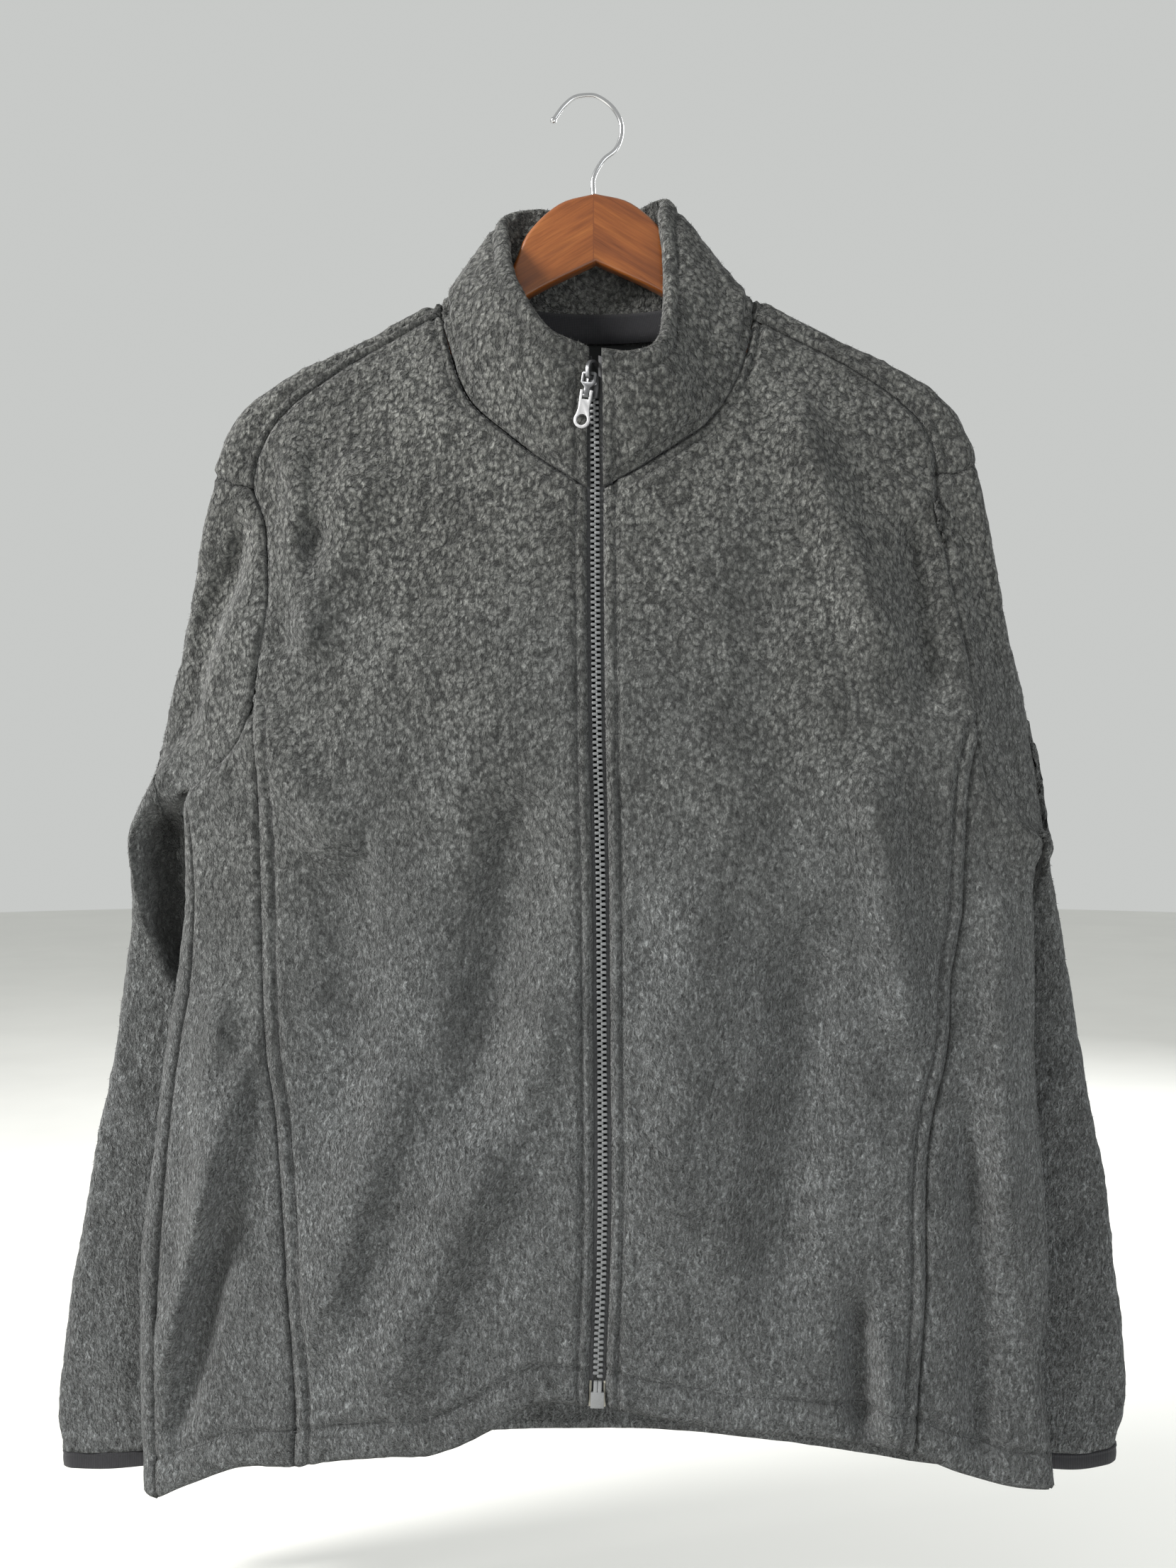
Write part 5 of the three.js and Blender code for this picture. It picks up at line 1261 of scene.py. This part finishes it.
def panel(name):
    """A cloth panel's smooth surface: its points, which way it turns and whether it is a ring."""
    if not PANELS:
        for side, turn in SIDES:
            PANELS["front_" + side] = (front_grid(side), turn, False)
            PANELS["side_front_" + side] = (side_grid(side), turn, False)
            PANELS["sleeve_" + side] = (sleeve_grid(side), turn, True)
        PANELS["back"] = (back_grid(), -1, False)
        across, down = FINE["collar"]
        PANELS["collar"] = (collar_surface(across, STEPS["collar"] * down), 1, False)
        PANELS["lines"] = seam_lines()
    return PANELS[name]


def relief(points, normals, edges):
    """Moves a surface out by its pile and in along its seams, and tells how deep in a seam each place is, as
    painted shade.
    """
    lines = panel("lines")
    height = pile_height(points) * bpy.context.scene.jacket_cloth.pile
    valley = np.zeros(height.shape)
    for key, stitch in edges:
        far = distance_to(points, lines[key])
        height += seam_relief(far, stitch)
        valley = np.maximum(valley, seam_painted_shade(far, stitch))
    return points + normals * height[..., None], valley


def side_edges(edges, name):
    return [(key + "_" + name, stitch) for key, stitch in edges]


def pile_fibres(name, points, turn, ring, count):
    """Loose fibres that stand out of the pile and soften its outline."""
    random = np.random.default_rng(count + len(name))
    if ring:
        points = np.concatenate([points, points[:, :1]], axis=1)
    normals = grid_normals(points, turn)
    row = random.uniform(0, len(points) - 1.001, count)
    column = random.uniform(0, points.shape[1] - 1.001, count)
    r, c = row.astype(int), column.astype(int)
    down, across = (row - r)[:, None], (column - c)[:, None]

    def between(values):
        upper = mix(values[r, c], values[r, c + 1], across)
        lower = mix(values[r + 1, c], values[r + 1, c + 1], across)
        return mix(upper, lower, down)

    spot, out = between(points), unit(between(normals))
    along = unit(points[r + 1, c] - points[r, c])
    lean = out * random.uniform(0.5, 1, (count, 1)) + along * random.uniform(-0.2, 0.7, (count, 1))
    lean = unit(lean + FIBRE["stray"] * random.normal(size=(count, 3)))
    length = random.uniform(FIBRE["short"], FIBRE["long"], (count, 1))
    side = unit(np.cross(lean, random.normal(size=(count, 3))))
    places = np.zeros((count, 4, 4))
    places[:, :3, 0] = side * MM
    places[:, :3, 1] = np.cross(lean, side) * MM
    places[:, :3, 2] = lean * length * MM
    places[:, :3, 3] = (spot - lean * FIBRE["root"]) * MM
    places[:, 3, 3] = 1
    bm = bmesh.new()
    bmesh.ops.create_cone(bm, cap_ends=True, segments=FIBRE["sides"], radius1=FIBRE["radius"], radius2=0,
                          depth=1, matrix=Matrix.Translation((0, 0, 0.5)))
    fibre = new_mesh(bm, "pile_fibre")
    mesh = repeat(name + "_fibres", fibre, places)
    bpy.data.meshes.remove(fibre)
    keep_piece(name + "_fibres", mesh, "jacket", "fleece", fleece_material())


def underarm_painted_shade(grid, name):
    """How much painted shade a place on the sleeve's front gets, by how deep it lies in the hollow under the
    arm, from 0 to 1.
    """
    hollow = np.zeros(grid.shape[:2])
    band = SLEEVES[name]["band"]
    if band:
        count = (STEPS["side"] + STEPS["arm_upper"] + STEPS["arm_top"]) * FINE["sleeve"][0]
        x, depth, z = np.moveaxis(grid[:, :count], -1, 0)
        inward = smooth((depth - UNDERARM_SHADE["from"]) / UNDERARM_SHADE["deep"])
        hollow[:, :count] = region(band, UNDERARM_SHADE["soft"], x, z) * inward
    return hollow


def fleece_piece(kind, name, edges, hollow=0.0):
    """One cut panel of fleece, with its pile, seams and thickness."""
    cut = CUTS[kind]
    grid, turn, ring = panel(name)
    points, valley = relief(grid, grid_normals(grid, turn, ring), edges)
    pile_fibres(name, points, turn, ring, cut["fibres"])
    mesh = grid_mesh(name + "_fleece", points, turn, ring, np.maximum(valley, hollow))
    piece = keep_piece(name + "_fleece", mesh, "jacket", "fleece", fleece_material(), name)
    thicken(piece, bpy.context.scene.jacket_cloth.thickness * (SLEEVE_THIN if ring else 1))


class JACKET_OT_body(bpy.types.Operator):
    """Hangs the fronts, the side fronts and the back"""
    bl_idname = "jacket.body"
    bl_label = "Body panels"

    def execute(self, context):
        for side, _ in SIDES:
            fleece_piece("front", "front_" + side, side_edges(FRONT_EDGES, side))
            fleece_piece("side_front", "side_front_" + side, side_edges(SIDE_EDGES, side))
        edges = side_edges(BACK_EDGES, "right") + side_edges(BACK_EDGES, "left")
        fleece_piece("back", "back", edges + [("neck_back", NECK_STITCH)])
        return {"FINISHED"}


class JACKET_OT_sleeves(bpy.types.Operator):
    """Hangs the two sleeves from their armholes"""
    bl_idname = "jacket.sleeves"
    bl_label = "Sleeves"

    def execute(self, context):
        for side, _ in SIDES:
            # The hollow under the arm is darkened as painted shade.
            hollow = underarm_painted_shade(panel("sleeve_" + side)[0], side)
            fleece_piece("sleeve", "sleeve_" + side, side_edges(SLEEVE_EDGES, side), hollow)
        return {"FINISHED"}


class JACKET_OT_collar(bpy.types.Operator):
    """Stands the doubled collar up from the neck seam, with its rolled top edge"""
    bl_idname = "jacket.collar"
    bl_label = "Collar"

    def execute(self, context):
        grid, turn, _ = panel("collar")
        normals = grid_normals(grid, turn)
        edges = [(key, NECK_STITCH) for key in ("neck_right", "neck_left", "neck_back")]
        share = np.linspace(0, 1, len(grid))[:, None]
        clear = smooth((np.linalg.norm(grid - PULL["spot"], axis=-1) - PULL["reach"]) / PULL["soft"])
        half = COLLAR["thin"] + COLLAR["gain"] * smooth(share / COLLAR["full_by"]) * clear
        middle = grid - normals * COLLAR["inset"]
        base = middle + normals * half[..., None]
        outer, valley = relief(base, normals, edges)
        outer = mix(base, outer, clear[..., None])
        below_top = np.linalg.norm(grid - grid[-1], axis=-1)
        from_end = np.minimum(np.linalg.norm(grid - grid[:, :1], axis=-1),
                              np.linalg.norm(grid - grid[:, -1:], axis=-1))
        end_groove = COLLAR["end_depth"] * ridge(from_end, COLLAR["end_stitch"], COLLAR["stitch_width"])
        groove = np.maximum(ridge(below_top, COLLAR["stitch"], COLLAR["stitch_width"]), end_groove)
        outer -= normals * COLLAR["groove"] * groove[..., None]
        # The stitch grooves are darkened too, as painted shade.
        valley = np.maximum(valley, COLLAR["shade"] * groove)
        inner = middle - normals * half[..., None]
        inner_pile = pile_height(inner + COLLAR["inner_shift"]) * COLLAR["inner_pile"]
        inner -= normals * (inner_pile - COLLAR["inner_groove"] * groove)[..., None]
        up = unit(grid[-1] - grid[-2])
        roll = []
        for step in range(1, COLLAR["roll_rows"]):
            angle = math.pi * step / COLLAR["roll_rows"]
            across = mix(outer[-1], inner[-1], 0.5 - 0.5 * math.cos(angle))
            roll.append(across + up * math.sin(angle) * half[-1][:, None] * COLLAR["round"])
        roll = np.array(roll)
        roll += up[None] * pile_height(roll)[..., None] * COLLAR["inner_pile"]
        loop = np.concatenate([outer, roll, inner[::-1], outer[:1]])
        pile_fibres("collar", loop[:-1], turn, False, CUTS["collar"]["fibres"])
        none = np.zeros(roll.shape[:2])
        # Painted shade for every row of the collar: its seams and grooves outside, none on the roll, its
        # grooves inside.
        depth = np.concatenate([valley, none, COLLAR["shade"] * groove[::-1], valley[:1]])
        mesh = grid_mesh("collar_fleece", loop, turn, False, depth)
        weld(mesh)
        close_ends(mesh)
        piece = keep_piece("collar_fleece", mesh, "jacket", "fleece", fleece_material(), "collar")
        return {"FINISHED"}


class JACKET_OT_cuffs(bpy.types.Operator):
    """Binds the cuffs with a smooth stretch binding, with its raised line along the top"""
    bl_idname = "jacket.cuffs"
    bl_label = "Cuff bindings"

    def execute(self, context):
        colour = tuple(context.scene.jacket_cloth.binding)
        material = woven_material("Smooth stretch binding", colour, 900.0, 2600.0)
        for side, _ in SIDES:
            grid, turn, ring = panel("sleeve_" + side)
            normals = grid_normals(grid, turn, ring)[-1]
            rows = []
            for row in range(CUFF["rows"] + 1):
                share = row / CUFF["rows"]
                line = CUFF["line"] * ridge(share, CUFF["line_at"], CUFF["line_width"])
                puff = CUFF["puff"] * math.sin(math.pi * share) - CUFF["inset"]
                lower = np.array([0, 0, -CUFF["drop"] - share * CUFF["height"]])
                rows.append(grid[-1] + lower + normals * (puff + line))
            node = "cuff_binding_" + side
            mesh = grid_mesh(node + "_cloth", np.array(rows), turn, True)
            piece = keep_piece(node + "_cloth", mesh, "jacket", "binding", material, node)
            thicken(piece, CUFF["thick"] * MM)
        return {"FINISHED"}


def inner_layer(node, slot, material, source, fine, cells, thick, below=0.0):
    """A thin layer of cloth that lies inside part of a panel and may reach below it."""
    grid, turn, _ = panel(source)
    across, down = FINE[fine]
    rows = slice(cells[0] * down, cells[1] * down + 1)
    columns = slice(cells[2] * across, cells[3] * across + 1)
    layer = grid[rows, columns] - grid_normals(grid, turn)[rows, columns] * FLEECE_UNDER
    if below:
        layer = np.concatenate([layer[:1] - unit(layer[1:2] - layer[:1]) * below, layer])
    mesh = grid_mesh(node + "_cloth", layer, turn)
    piece = keep_piece(node + "_cloth", mesh, "jacket", slot, material, node)
    thicken(piece, thick * MM)


class JACKET_OT_linings(bpy.types.Operator):
    """Lays in the back facing, the neck tape and the pocket bags"""
    bl_idname = "jacket.linings"
    bl_label = "Facing, neck tape and pocket bags"

    def execute(self, context):
        settings = context.scene.jacket_cloth
        bag = woven_material("Pocket cloth", tuple(settings.pocket), 1400.0, 1400.0)
        for side, _ in SIDES:
            inner_layer("pocket_bag_" + side, "pocket_cloth", bag, "front_" + side, "front", POCKET_CELLS,
                        POCKET_THICK)
        facing = woven_material("Smooth facing", tuple(settings.facing), 3000.0, 3000.0, 0.00005, 0.5, 0.15)
        inner_layer("back_facing", "facing", facing, "back", "back", FACING_CELLS, FACING_THICK)
        tape = woven_material("Neck tape", tuple(settings.binding), 900.0, 1500.0)
        inner_layer("neck_tape", "facing", tape, "collar", "collar", NECK_TAPE_CELLS, FACING_THICK,
                    NECK_TAPE_BELOW)
        return {"FINISHED"}


# The zip

class ZipPath:
    """The zip's frame at a height: the middle of the chain, the way across, up along the zip, and out."""

    def __init__(self):
        self.edges = {name: self.edge(name) for name, _ in SIDES}
        self.points = (self.edges["right"][0] + self.edges["left"][0]) / 2
        self.normals = unit(self.edges["right"][2] + self.edges["left"][2])

    def edge(self, name):
        """The fleece's edge down the collar and one front: its points, those beside them and the way out."""
        collar, turn, _ = panel("collar")
        front, front_turn, _ = panel("front_" + name)
        (across, down), (front_across, front_down) = FINE["collar"], FINE["front"]
        column, beside = (0, across) if name == "right" else (-1, -1 - across)
        above = slice(None, None, -down)
        below = slice((STEPS["neck_front"] + 1) * front_down, None, front_down)
        parts = ((collar[above, column], front[below, 0]),
                 (collar[above, beside], front[below, front_across]),
                 (grid_normals(collar, turn)[above, column], grid_normals(front, front_turn)[below, 0]))
        return [np.concatenate(part) for part in parts]

    def at(self, z):
        turned = TWIST["slider"] * float(smooth((z - TWIST["from"]) / (TWIST["to"] - TWIST["from"])))
        heights = self.points[:, 2]
        j = 1
        while j < len(heights) - 1 and heights[j] > z:
            j += 1
        share = np.clip((heights[j - 1] - z) / (heights[j - 1] - heights[j]), 0, 1)
        point = mix(self.points[j - 1], self.points[j], share)
        up = unit(self.points[j - 1] - self.points[j])
        normal = unit(mix(self.normals[j - 1], self.normals[j], share))
        side = unit(np.cross(up, normal))
        across = side * math.cos(turned) + normal * math.sin(turned)
        out = unit(np.cross(across, up))
        return point + normal * ZIP["middle"], across, up, out


def zip_path():
    if "zip" not in PANELS:
        PANELS["zip"] = ZipPath()
    return PANELS["zip"]


class JACKET_OT_zip_tapes(bpy.types.Operator):
    """Lays the woven tapes between the fleece edges and the chain"""
    bl_idname = "jacket.zip_tapes"
    bl_label = "Zip tapes"

    def execute(self, context):
        settings = context.scene.jacket_zip
        material = woven_material("Woven zip tape", tuple(settings.tape), 1500.0, 1100.0, 0.00025)
        path = zip_path()
        for name, side in SIDES:
            edge, beyond, normal = path.edges[name]
            grid, out = [], []
            for j, z in enumerate(path.points[:, 2]):
                origin, across, _, zip_out = path.at(z)
                inner = origin + across * side * TAPE["inner"] - zip_out * ZIP["middle"]
                cover = mix(edge[j], beyond[j], TAPE["cover"] / np.linalg.norm(beyond[j] - edge[j]))
                grid.append([inner, mix(inner, edge[j], 0.5), edge[j], cover])
                out.append([zip_out, unit(zip_out + normal[j]), normal[j], normal[j]])
            grid = np.array(grid) - np.array(out) * TAPE["under"]
            row = np.arange(len(grid))
            rows = np.linspace(0, len(grid) - 1, TAPE["rows"])
            fine = np.stack([np.stack([np.interp(rows, row, grid[:, column, axis])
                                       for axis in range(3)], axis=-1) for column in range(4)], axis=1)
            node = "zip_tape_" + name
            mesh = grid_mesh(node + "_cloth", fine, side)
            piece = keep_piece(node + "_cloth", mesh, "jacket", "zip_tape", material, node)
            thicken(piece, TAPE["thick"] * MM)
        return {"FINISHED"}


class JACKET_OT_zip_chain(bpy.types.Operator):
    """Sets the moulded teeth along both tapes"""
    bl_idname = "jacket.zip_chain"
    bl_label = "Zip teeth"

    def execute(self, context):
        settings = context.scene.jacket_zip
        path = zip_path()
        tooth = rounded_block("zip_tooth", TOOTH["size"], TOOTH["round"])
        places = []
        pitch = settings.pitch / MM
        for _, side in SIDES:
            z = ZIP["chain_top"] - (0.5 * pitch if side > 0 else 0)
            while z > ZIP["chain_end"] + 1:
                origin, across, up, out = path.at(z)
                places.append(place_at(origin + across * side * TOOTH["beside"], across, up, out))
                z -= pitch * up[2]
        mesh = repeat("zip_chain_teeth", tooth, places)
        material = hard_material("Moulded teeth", tuple(settings.teeth), 0.42, 0.0, 1400.0, 0.1)
        keep_piece("zip_chain_teeth", mesh, "jacket", "teeth", material, "zip_chain")
        bpy.data.meshes.remove(tooth)
        return {"FINISHED"}


def softened(node, bevel):
    """A welded copy of a hard CAD piece with its sharp outer edges eased."""
    bm = read_mesh(bpy.data.objects[node].data)
    bmesh.ops.remove_doubles(bm, verts=bm.verts, dist=DOUBLES)
    bmesh.ops.dissolve_limit(bm, angle_limit=FLAT_ANGLE, verts=bm.verts, edges=bm.edges)
    sharp = [edge for edge in bm.edges if len(edge.link_faces) == 2 and edge.is_convex
             and edge.calc_face_angle(0) > SHARP_ANGLE]
    bmesh.ops.bevel(bm, geom=sharp, offset=bevel * MM, affect="EDGES", segments=2, profile=0.5,
                    material=-1, clamp_overlap=True)
    mesh = new_mesh(bm, node + "_eased")
    mesh.shade_smooth()
    mesh.set_sharp_from_angle(angle=SHADE_ANGLE)
    return mesh


class JACKET_OT_zip_hardware(bpy.types.Operator):
    """Eases the slider, its link, its pull tab and the box, and adds the film beside the pins"""
    bl_idname = "jacket.zip_hardware"
    bl_label = "Slider, pull and box"

    def execute(self, context):
        settings = context.scene.jacket_zip
        gunmetal = hard_material("Dark gunmetal paint", tuple(settings.slider), 0.34, 0.6, 1200.0, 0.15)
        light = hard_material("Matt grey paint", tuple(settings.pull), 0.45, 0.3, 1500.0, 0.1)
        plastic = hard_material("Moulded box", tuple(settings.box), 0.4, 0.0, 1200.0, 0.08)
        for node, name, bevel, body, slot, material in (
                ("zip_slider", "zip_slider_metal", 0.28, "jacket", "slider", gunmetal),
                ("zip_box", "zip_box_moulding", 0.4, "jacket", "teeth", plastic),
                ("pull_link", "pull_link_metal", 0.25, "pull_link", "slider", gunmetal),
                ("pull_tab", "pull_tab_metal", 0.3, "pull_tab", "pull", light)):
            keep_piece(name, softened(node, bevel), body, slot, material, node)
        film = hard_material("Cream film", (0.42, 0.4, 0.34), 0.5)
        strip = rounded_block("film_strip", FILM["size"], FILM["round"], 1)
        origin, across, up, out = zip_path().at(ZIP["box"] - FILM["below"])
        places = [place_at(origin + across * side * FILM["beside"] - out * FILM["under"], across, up, out)
                  for _, side in SIDES]
        keep_piece("zip_film_strips", repeat("zip_film_strips", strip, places), "jacket", "teeth", film)
        bpy.data.meshes.remove(strip)
        return {"FINISHED"}


def offset_line(points, away):
    """A line in x and z moved sideways, to the right of the way it runs if away is above 0."""
    points = np.asarray(points, float)
    along = unit(np.gradient(points, axis=0))
    return points + np.stack([-along[:, 1], along[:, 0]], axis=-1) * -away


class JACKET_OT_stitching(bpy.types.Operator):
    """Sews the topstitching beside the zip, the neck, the princess seams and along the hem"""
    bl_idname = "jacket.stitching"
    bl_label = "Topstitching"

    def execute(self, context):
        thread = rounded_block("thread_stitch", THREAD["size"], THREAD["round"], 1)
        grey = hard_material("Grey thread", (0.035, 0.036, 0.038), 0.7)
        for name, side in SIDES:
            front = surface_tree([bpy.data.objects[kind + name + "_fleece"]
                                  for kind in ("front_", "side_front_")])
            seam = SEAMS[name]
            zip_line = sample(ZIP_LINE, 200) + (side * ZIP_STITCH, 0)
            princess = sample(seam["princess"], 200) + (-side * PRINCESS_STITCH, 0)
            hem = join(sample(seam["hem"], 100), sample(seam["side_hem"], 50)) + (0, HEM)
            neck = offset_line(sample(seam["neck"], 100), NECK_STITCH * side)
            places = []
            for line in (zip_line, princess, hem[8:-8], neck[4:-6]):
                places += stitch_places(on_front(line), front)
            mesh = repeat("topstitch_" + name, thread, places)
            keep_piece("topstitch_" + name, mesh, "jacket", "fleece", grey)
        bpy.data.meshes.remove(thread)
        return {"FINISHED"}


# The hanger

class JACKET_OT_hanger(bpy.types.Operator):
    """Shapes the wooden arm and bends its wire hook"""
    bl_idname = "jacket.hanger"
    bl_label = "Hanger and hook"

    def execute(self, context):
        settings = context.scene.jacket_hanger
        half_line = np.vstack([sample(HANGER_TOP, 56), sample(HANGER_BOTTOM, 40)[:-1]])
        left = half_line[1:][::-1] * (-1, 1)
        outline = np.vstack([half_line, [HANGER_BOTTOM[-1]], left])
        bm = bmesh.new()
        corners = [bm.verts.new((x * MM, -HANGER["half"] * MM, z * MM)) for x, z in outline]
        face = bm.faces.new(corners)
        bm.normal_update()
        made = bmesh.ops.extrude_face_region(bm, geom=[face])
        moved = [item for item in made["geom"] if isinstance(item, bmesh.types.BMVert)]
        bmesh.ops.translate(bm, verts=moved, vec=(0, 2 * HANGER["half"] * MM, 0))
        bmesh.ops.recalc_face_normals(bm, faces=bm.faces)
        rims = [edge for edge in bm.edges if abs(edge.verts[0].co.y - edge.verts[1].co.y) < 1e-7]
        bmesh.ops.bevel(bm, geom=rims, offset=HANGER["round"] * MM, affect="EDGES", segments=5, profile=0.5,
                        material=-1, clamp_overlap=True)
        bmesh.ops.transform(bm, matrix=Matrix.Rotation(-HANGER["tilt"], 4, "Y"), verts=bm.verts)
        mesh = new_mesh(bm, "hanger_arm")
        mesh.shade_smooth()
        mesh.set_sharp_from_angle(angle=HANGER["shade_angle"])
        keep_piece("hanger_arm", mesh, "jacket", "wood", wood_material(), "hanger_wood")

        path = sample([(x, 0, z) for x, z in HOOK_PATH], HOOK["steps"])
        along = unit(np.gradient(path, axis=0))
        side = np.array([0.0, 1.0, 0.0])
        over = unit(np.cross(along, side))
        radius = settings.wire / MM
        angles = np.linspace(0, math.tau, HOOK["sides"], endpoint=False)
        tube = np.stack([path + radius * (math.cos(a) * side + math.sin(a) * over) for a in angles], axis=1)
        mesh = grid_mesh("hook_wire", tube, 1, True)
        bm = read_mesh(mesh)
        tip_x, tip_z = HOOK_PATH[-1]
        ball = Matrix.Translation((tip_x * MM, 0, tip_z * MM))
        bmesh.ops.create_uvsphere(bm, u_segments=HOOK["sides"], v_segments=HOOK["tip_rings"],
                                  radius=HOOK["tip"] * MM, matrix=ball)
        write_mesh(bm, mesh)
        mesh.shade_smooth()
        chrome = hard_material("Bright chrome", (0.55, 0.55, 0.56), 0.2, 1.0, 2500.0, 0.04, 0.00001)
        keep_piece("hook_wire", mesh, "jacket", "hook", chrome, "hanger_hook")
        return {"FINISHED"}


# The studio

def soft_light(name, place, aim, size, power, colour):
    light = bpy.data.lights.new(name, "AREA")
    light.shape = "DISK"
    light.size = size
    light.energy = power
    light.color = colour
    lamp = bpy.data.objects.new(name, light)
    bpy.context.scene.collection.objects.link(lamp)
    lamp.location = place
    lamp.rotation_euler = (Vector(aim) - Vector(place)).to_track_quat("-Z", "Y").to_euler()


class JACKET_OT_studio(bpy.types.Operator):
    """Sets the camera, the pale floor and the soft lights"""
    bl_idname = "jacket.studio"
    bl_label = "Studio"

    def execute(self, context):
        settings = context.scene.jacket_studio
        scene = context.scene
        camera = bpy.data.cameras.new("Front camera")
        camera.sensor_fit = "VERTICAL"
        camera.sensor_height = CAMERA["sensor"]
        camera.lens = CAMERA["sensor"] * CAMERA["back"] / CAMERA["frame"]
        camera.clip_start = CAMERA["near"]
        camera.dof.use_dof = False
        holder = bpy.data.objects.new("Front camera", camera)
        scene.collection.objects.link(holder)
        holder.location = (CAMERA["x"], -CAMERA["back"], CAMERA["z"])
        holder.rotation_euler = (math.pi / 2, 0, 0)
        scene.camera = holder

        bm = bmesh.new()
        bmesh.ops.create_circle(bm, cap_ends=True, segments=64, radius=FLOOR_RADIUS)
        bmesh.ops.translate(bm, verts=bm.verts, vec=(0, 0, -settings.floor_drop))
        mesh = new_mesh(bm, "Pale floor")
        floor = bpy.data.objects.new("Pale floor", mesh)
        scene.collection.objects.link(floor)
        mesh.materials.append(hard_material("Pale floor", (0.8, 0.8, 0.77), 0.85, 0.0, 4.0, 0.02))
        floor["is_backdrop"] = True

        world = bpy.data.worlds.new("Soft surround")
        world.use_nodes = True
        sky = next(node for node in world.node_tree.nodes if node.type == "BACKGROUND")
        sky.inputs["Color"].default_value = (0.96, 0.98, 0.96, 1)
        sky.inputs["Strength"].default_value = settings.sky
        scene.world = world
        soft_light("Key", (-1.65, -0.75, 0.6), (0, 0, -0.5), 0.6, settings.key_power, (1.0, 0.985, 0.96))
        soft_light("Fill", (1.3, -1.3, -0.75), (0.05, 0, -0.68), 1.2, settings.fill_power, (0.93, 0.97, 1.0))
        soft_light("Behind", (0.9, 1.5, 0.5), (0, 0, -0.45), 1.0, settings.fill_power * 3, (1.0, 1.0, 1.0))
        scene.view_settings.view_transform = "Standard"
        return {"FINISHED"}


OPERATORS = (JACKET_OT_studio, JACKET_OT_body, JACKET_OT_sleeves, JACKET_OT_collar, JACKET_OT_cuffs,
             JACKET_OT_linings, JACKET_OT_zip_tapes, JACKET_OT_zip_chain, JACKET_OT_zip_hardware,
             JACKET_OT_stitching, JACKET_OT_hanger)
SETTINGS = (("jacket_cloth", JacketCloth), ("jacket_zip", JacketZip), ("jacket_hanger", JacketHanger),
            ("jacket_studio", JacketStudio))


class JACKET_PT_panel(bpy.types.Panel):
    """Lists the buttons that build the jacket's pieces, and the settings they read"""
    bl_idname = "JACKET_PT_panel"
    bl_label = "Jacket"
    bl_space_type = "VIEW_3D"
    bl_region_type = "UI"
    bl_category = "Jacket"

    def draw(self, context):
        for operator in OPERATORS:
            self.layout.operator(operator.bl_idname)
        for attribute, group in SETTINGS:
            box = self.layout.box()
            for key in group.__annotations__:
                box.prop(getattr(context.scene, attribute), key)


def register():
    for attribute, group in SETTINGS:
        bpy.utils.register_class(group)
        setattr(bpy.types.Scene, attribute, PointerProperty(type=group))
    for operator in OPERATORS:
        bpy.utils.register_class(operator)
    bpy.utils.register_class(JACKET_PT_panel)


def unregister():
    bpy.utils.unregister_class(JACKET_PT_panel)
    for operator in reversed(OPERATORS):
        bpy.utils.unregister_class(operator)
    for attribute, group in reversed(SETTINGS):
        delattr(bpy.types.Scene, attribute)
        bpy.utils.unregister_class(group)


def main():
    register()
    for operator in OPERATORS:
        category, name = operator.bl_idname.split(".")
        getattr(getattr(bpy.ops, category), name)()
    boxes = {"cad": CAD_BOX, "visual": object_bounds()}
    ({key: [[float(value) for value in corner] for corner in box]
               for key, box in boxes.items()})


if __name__ == "__main__":
    main()
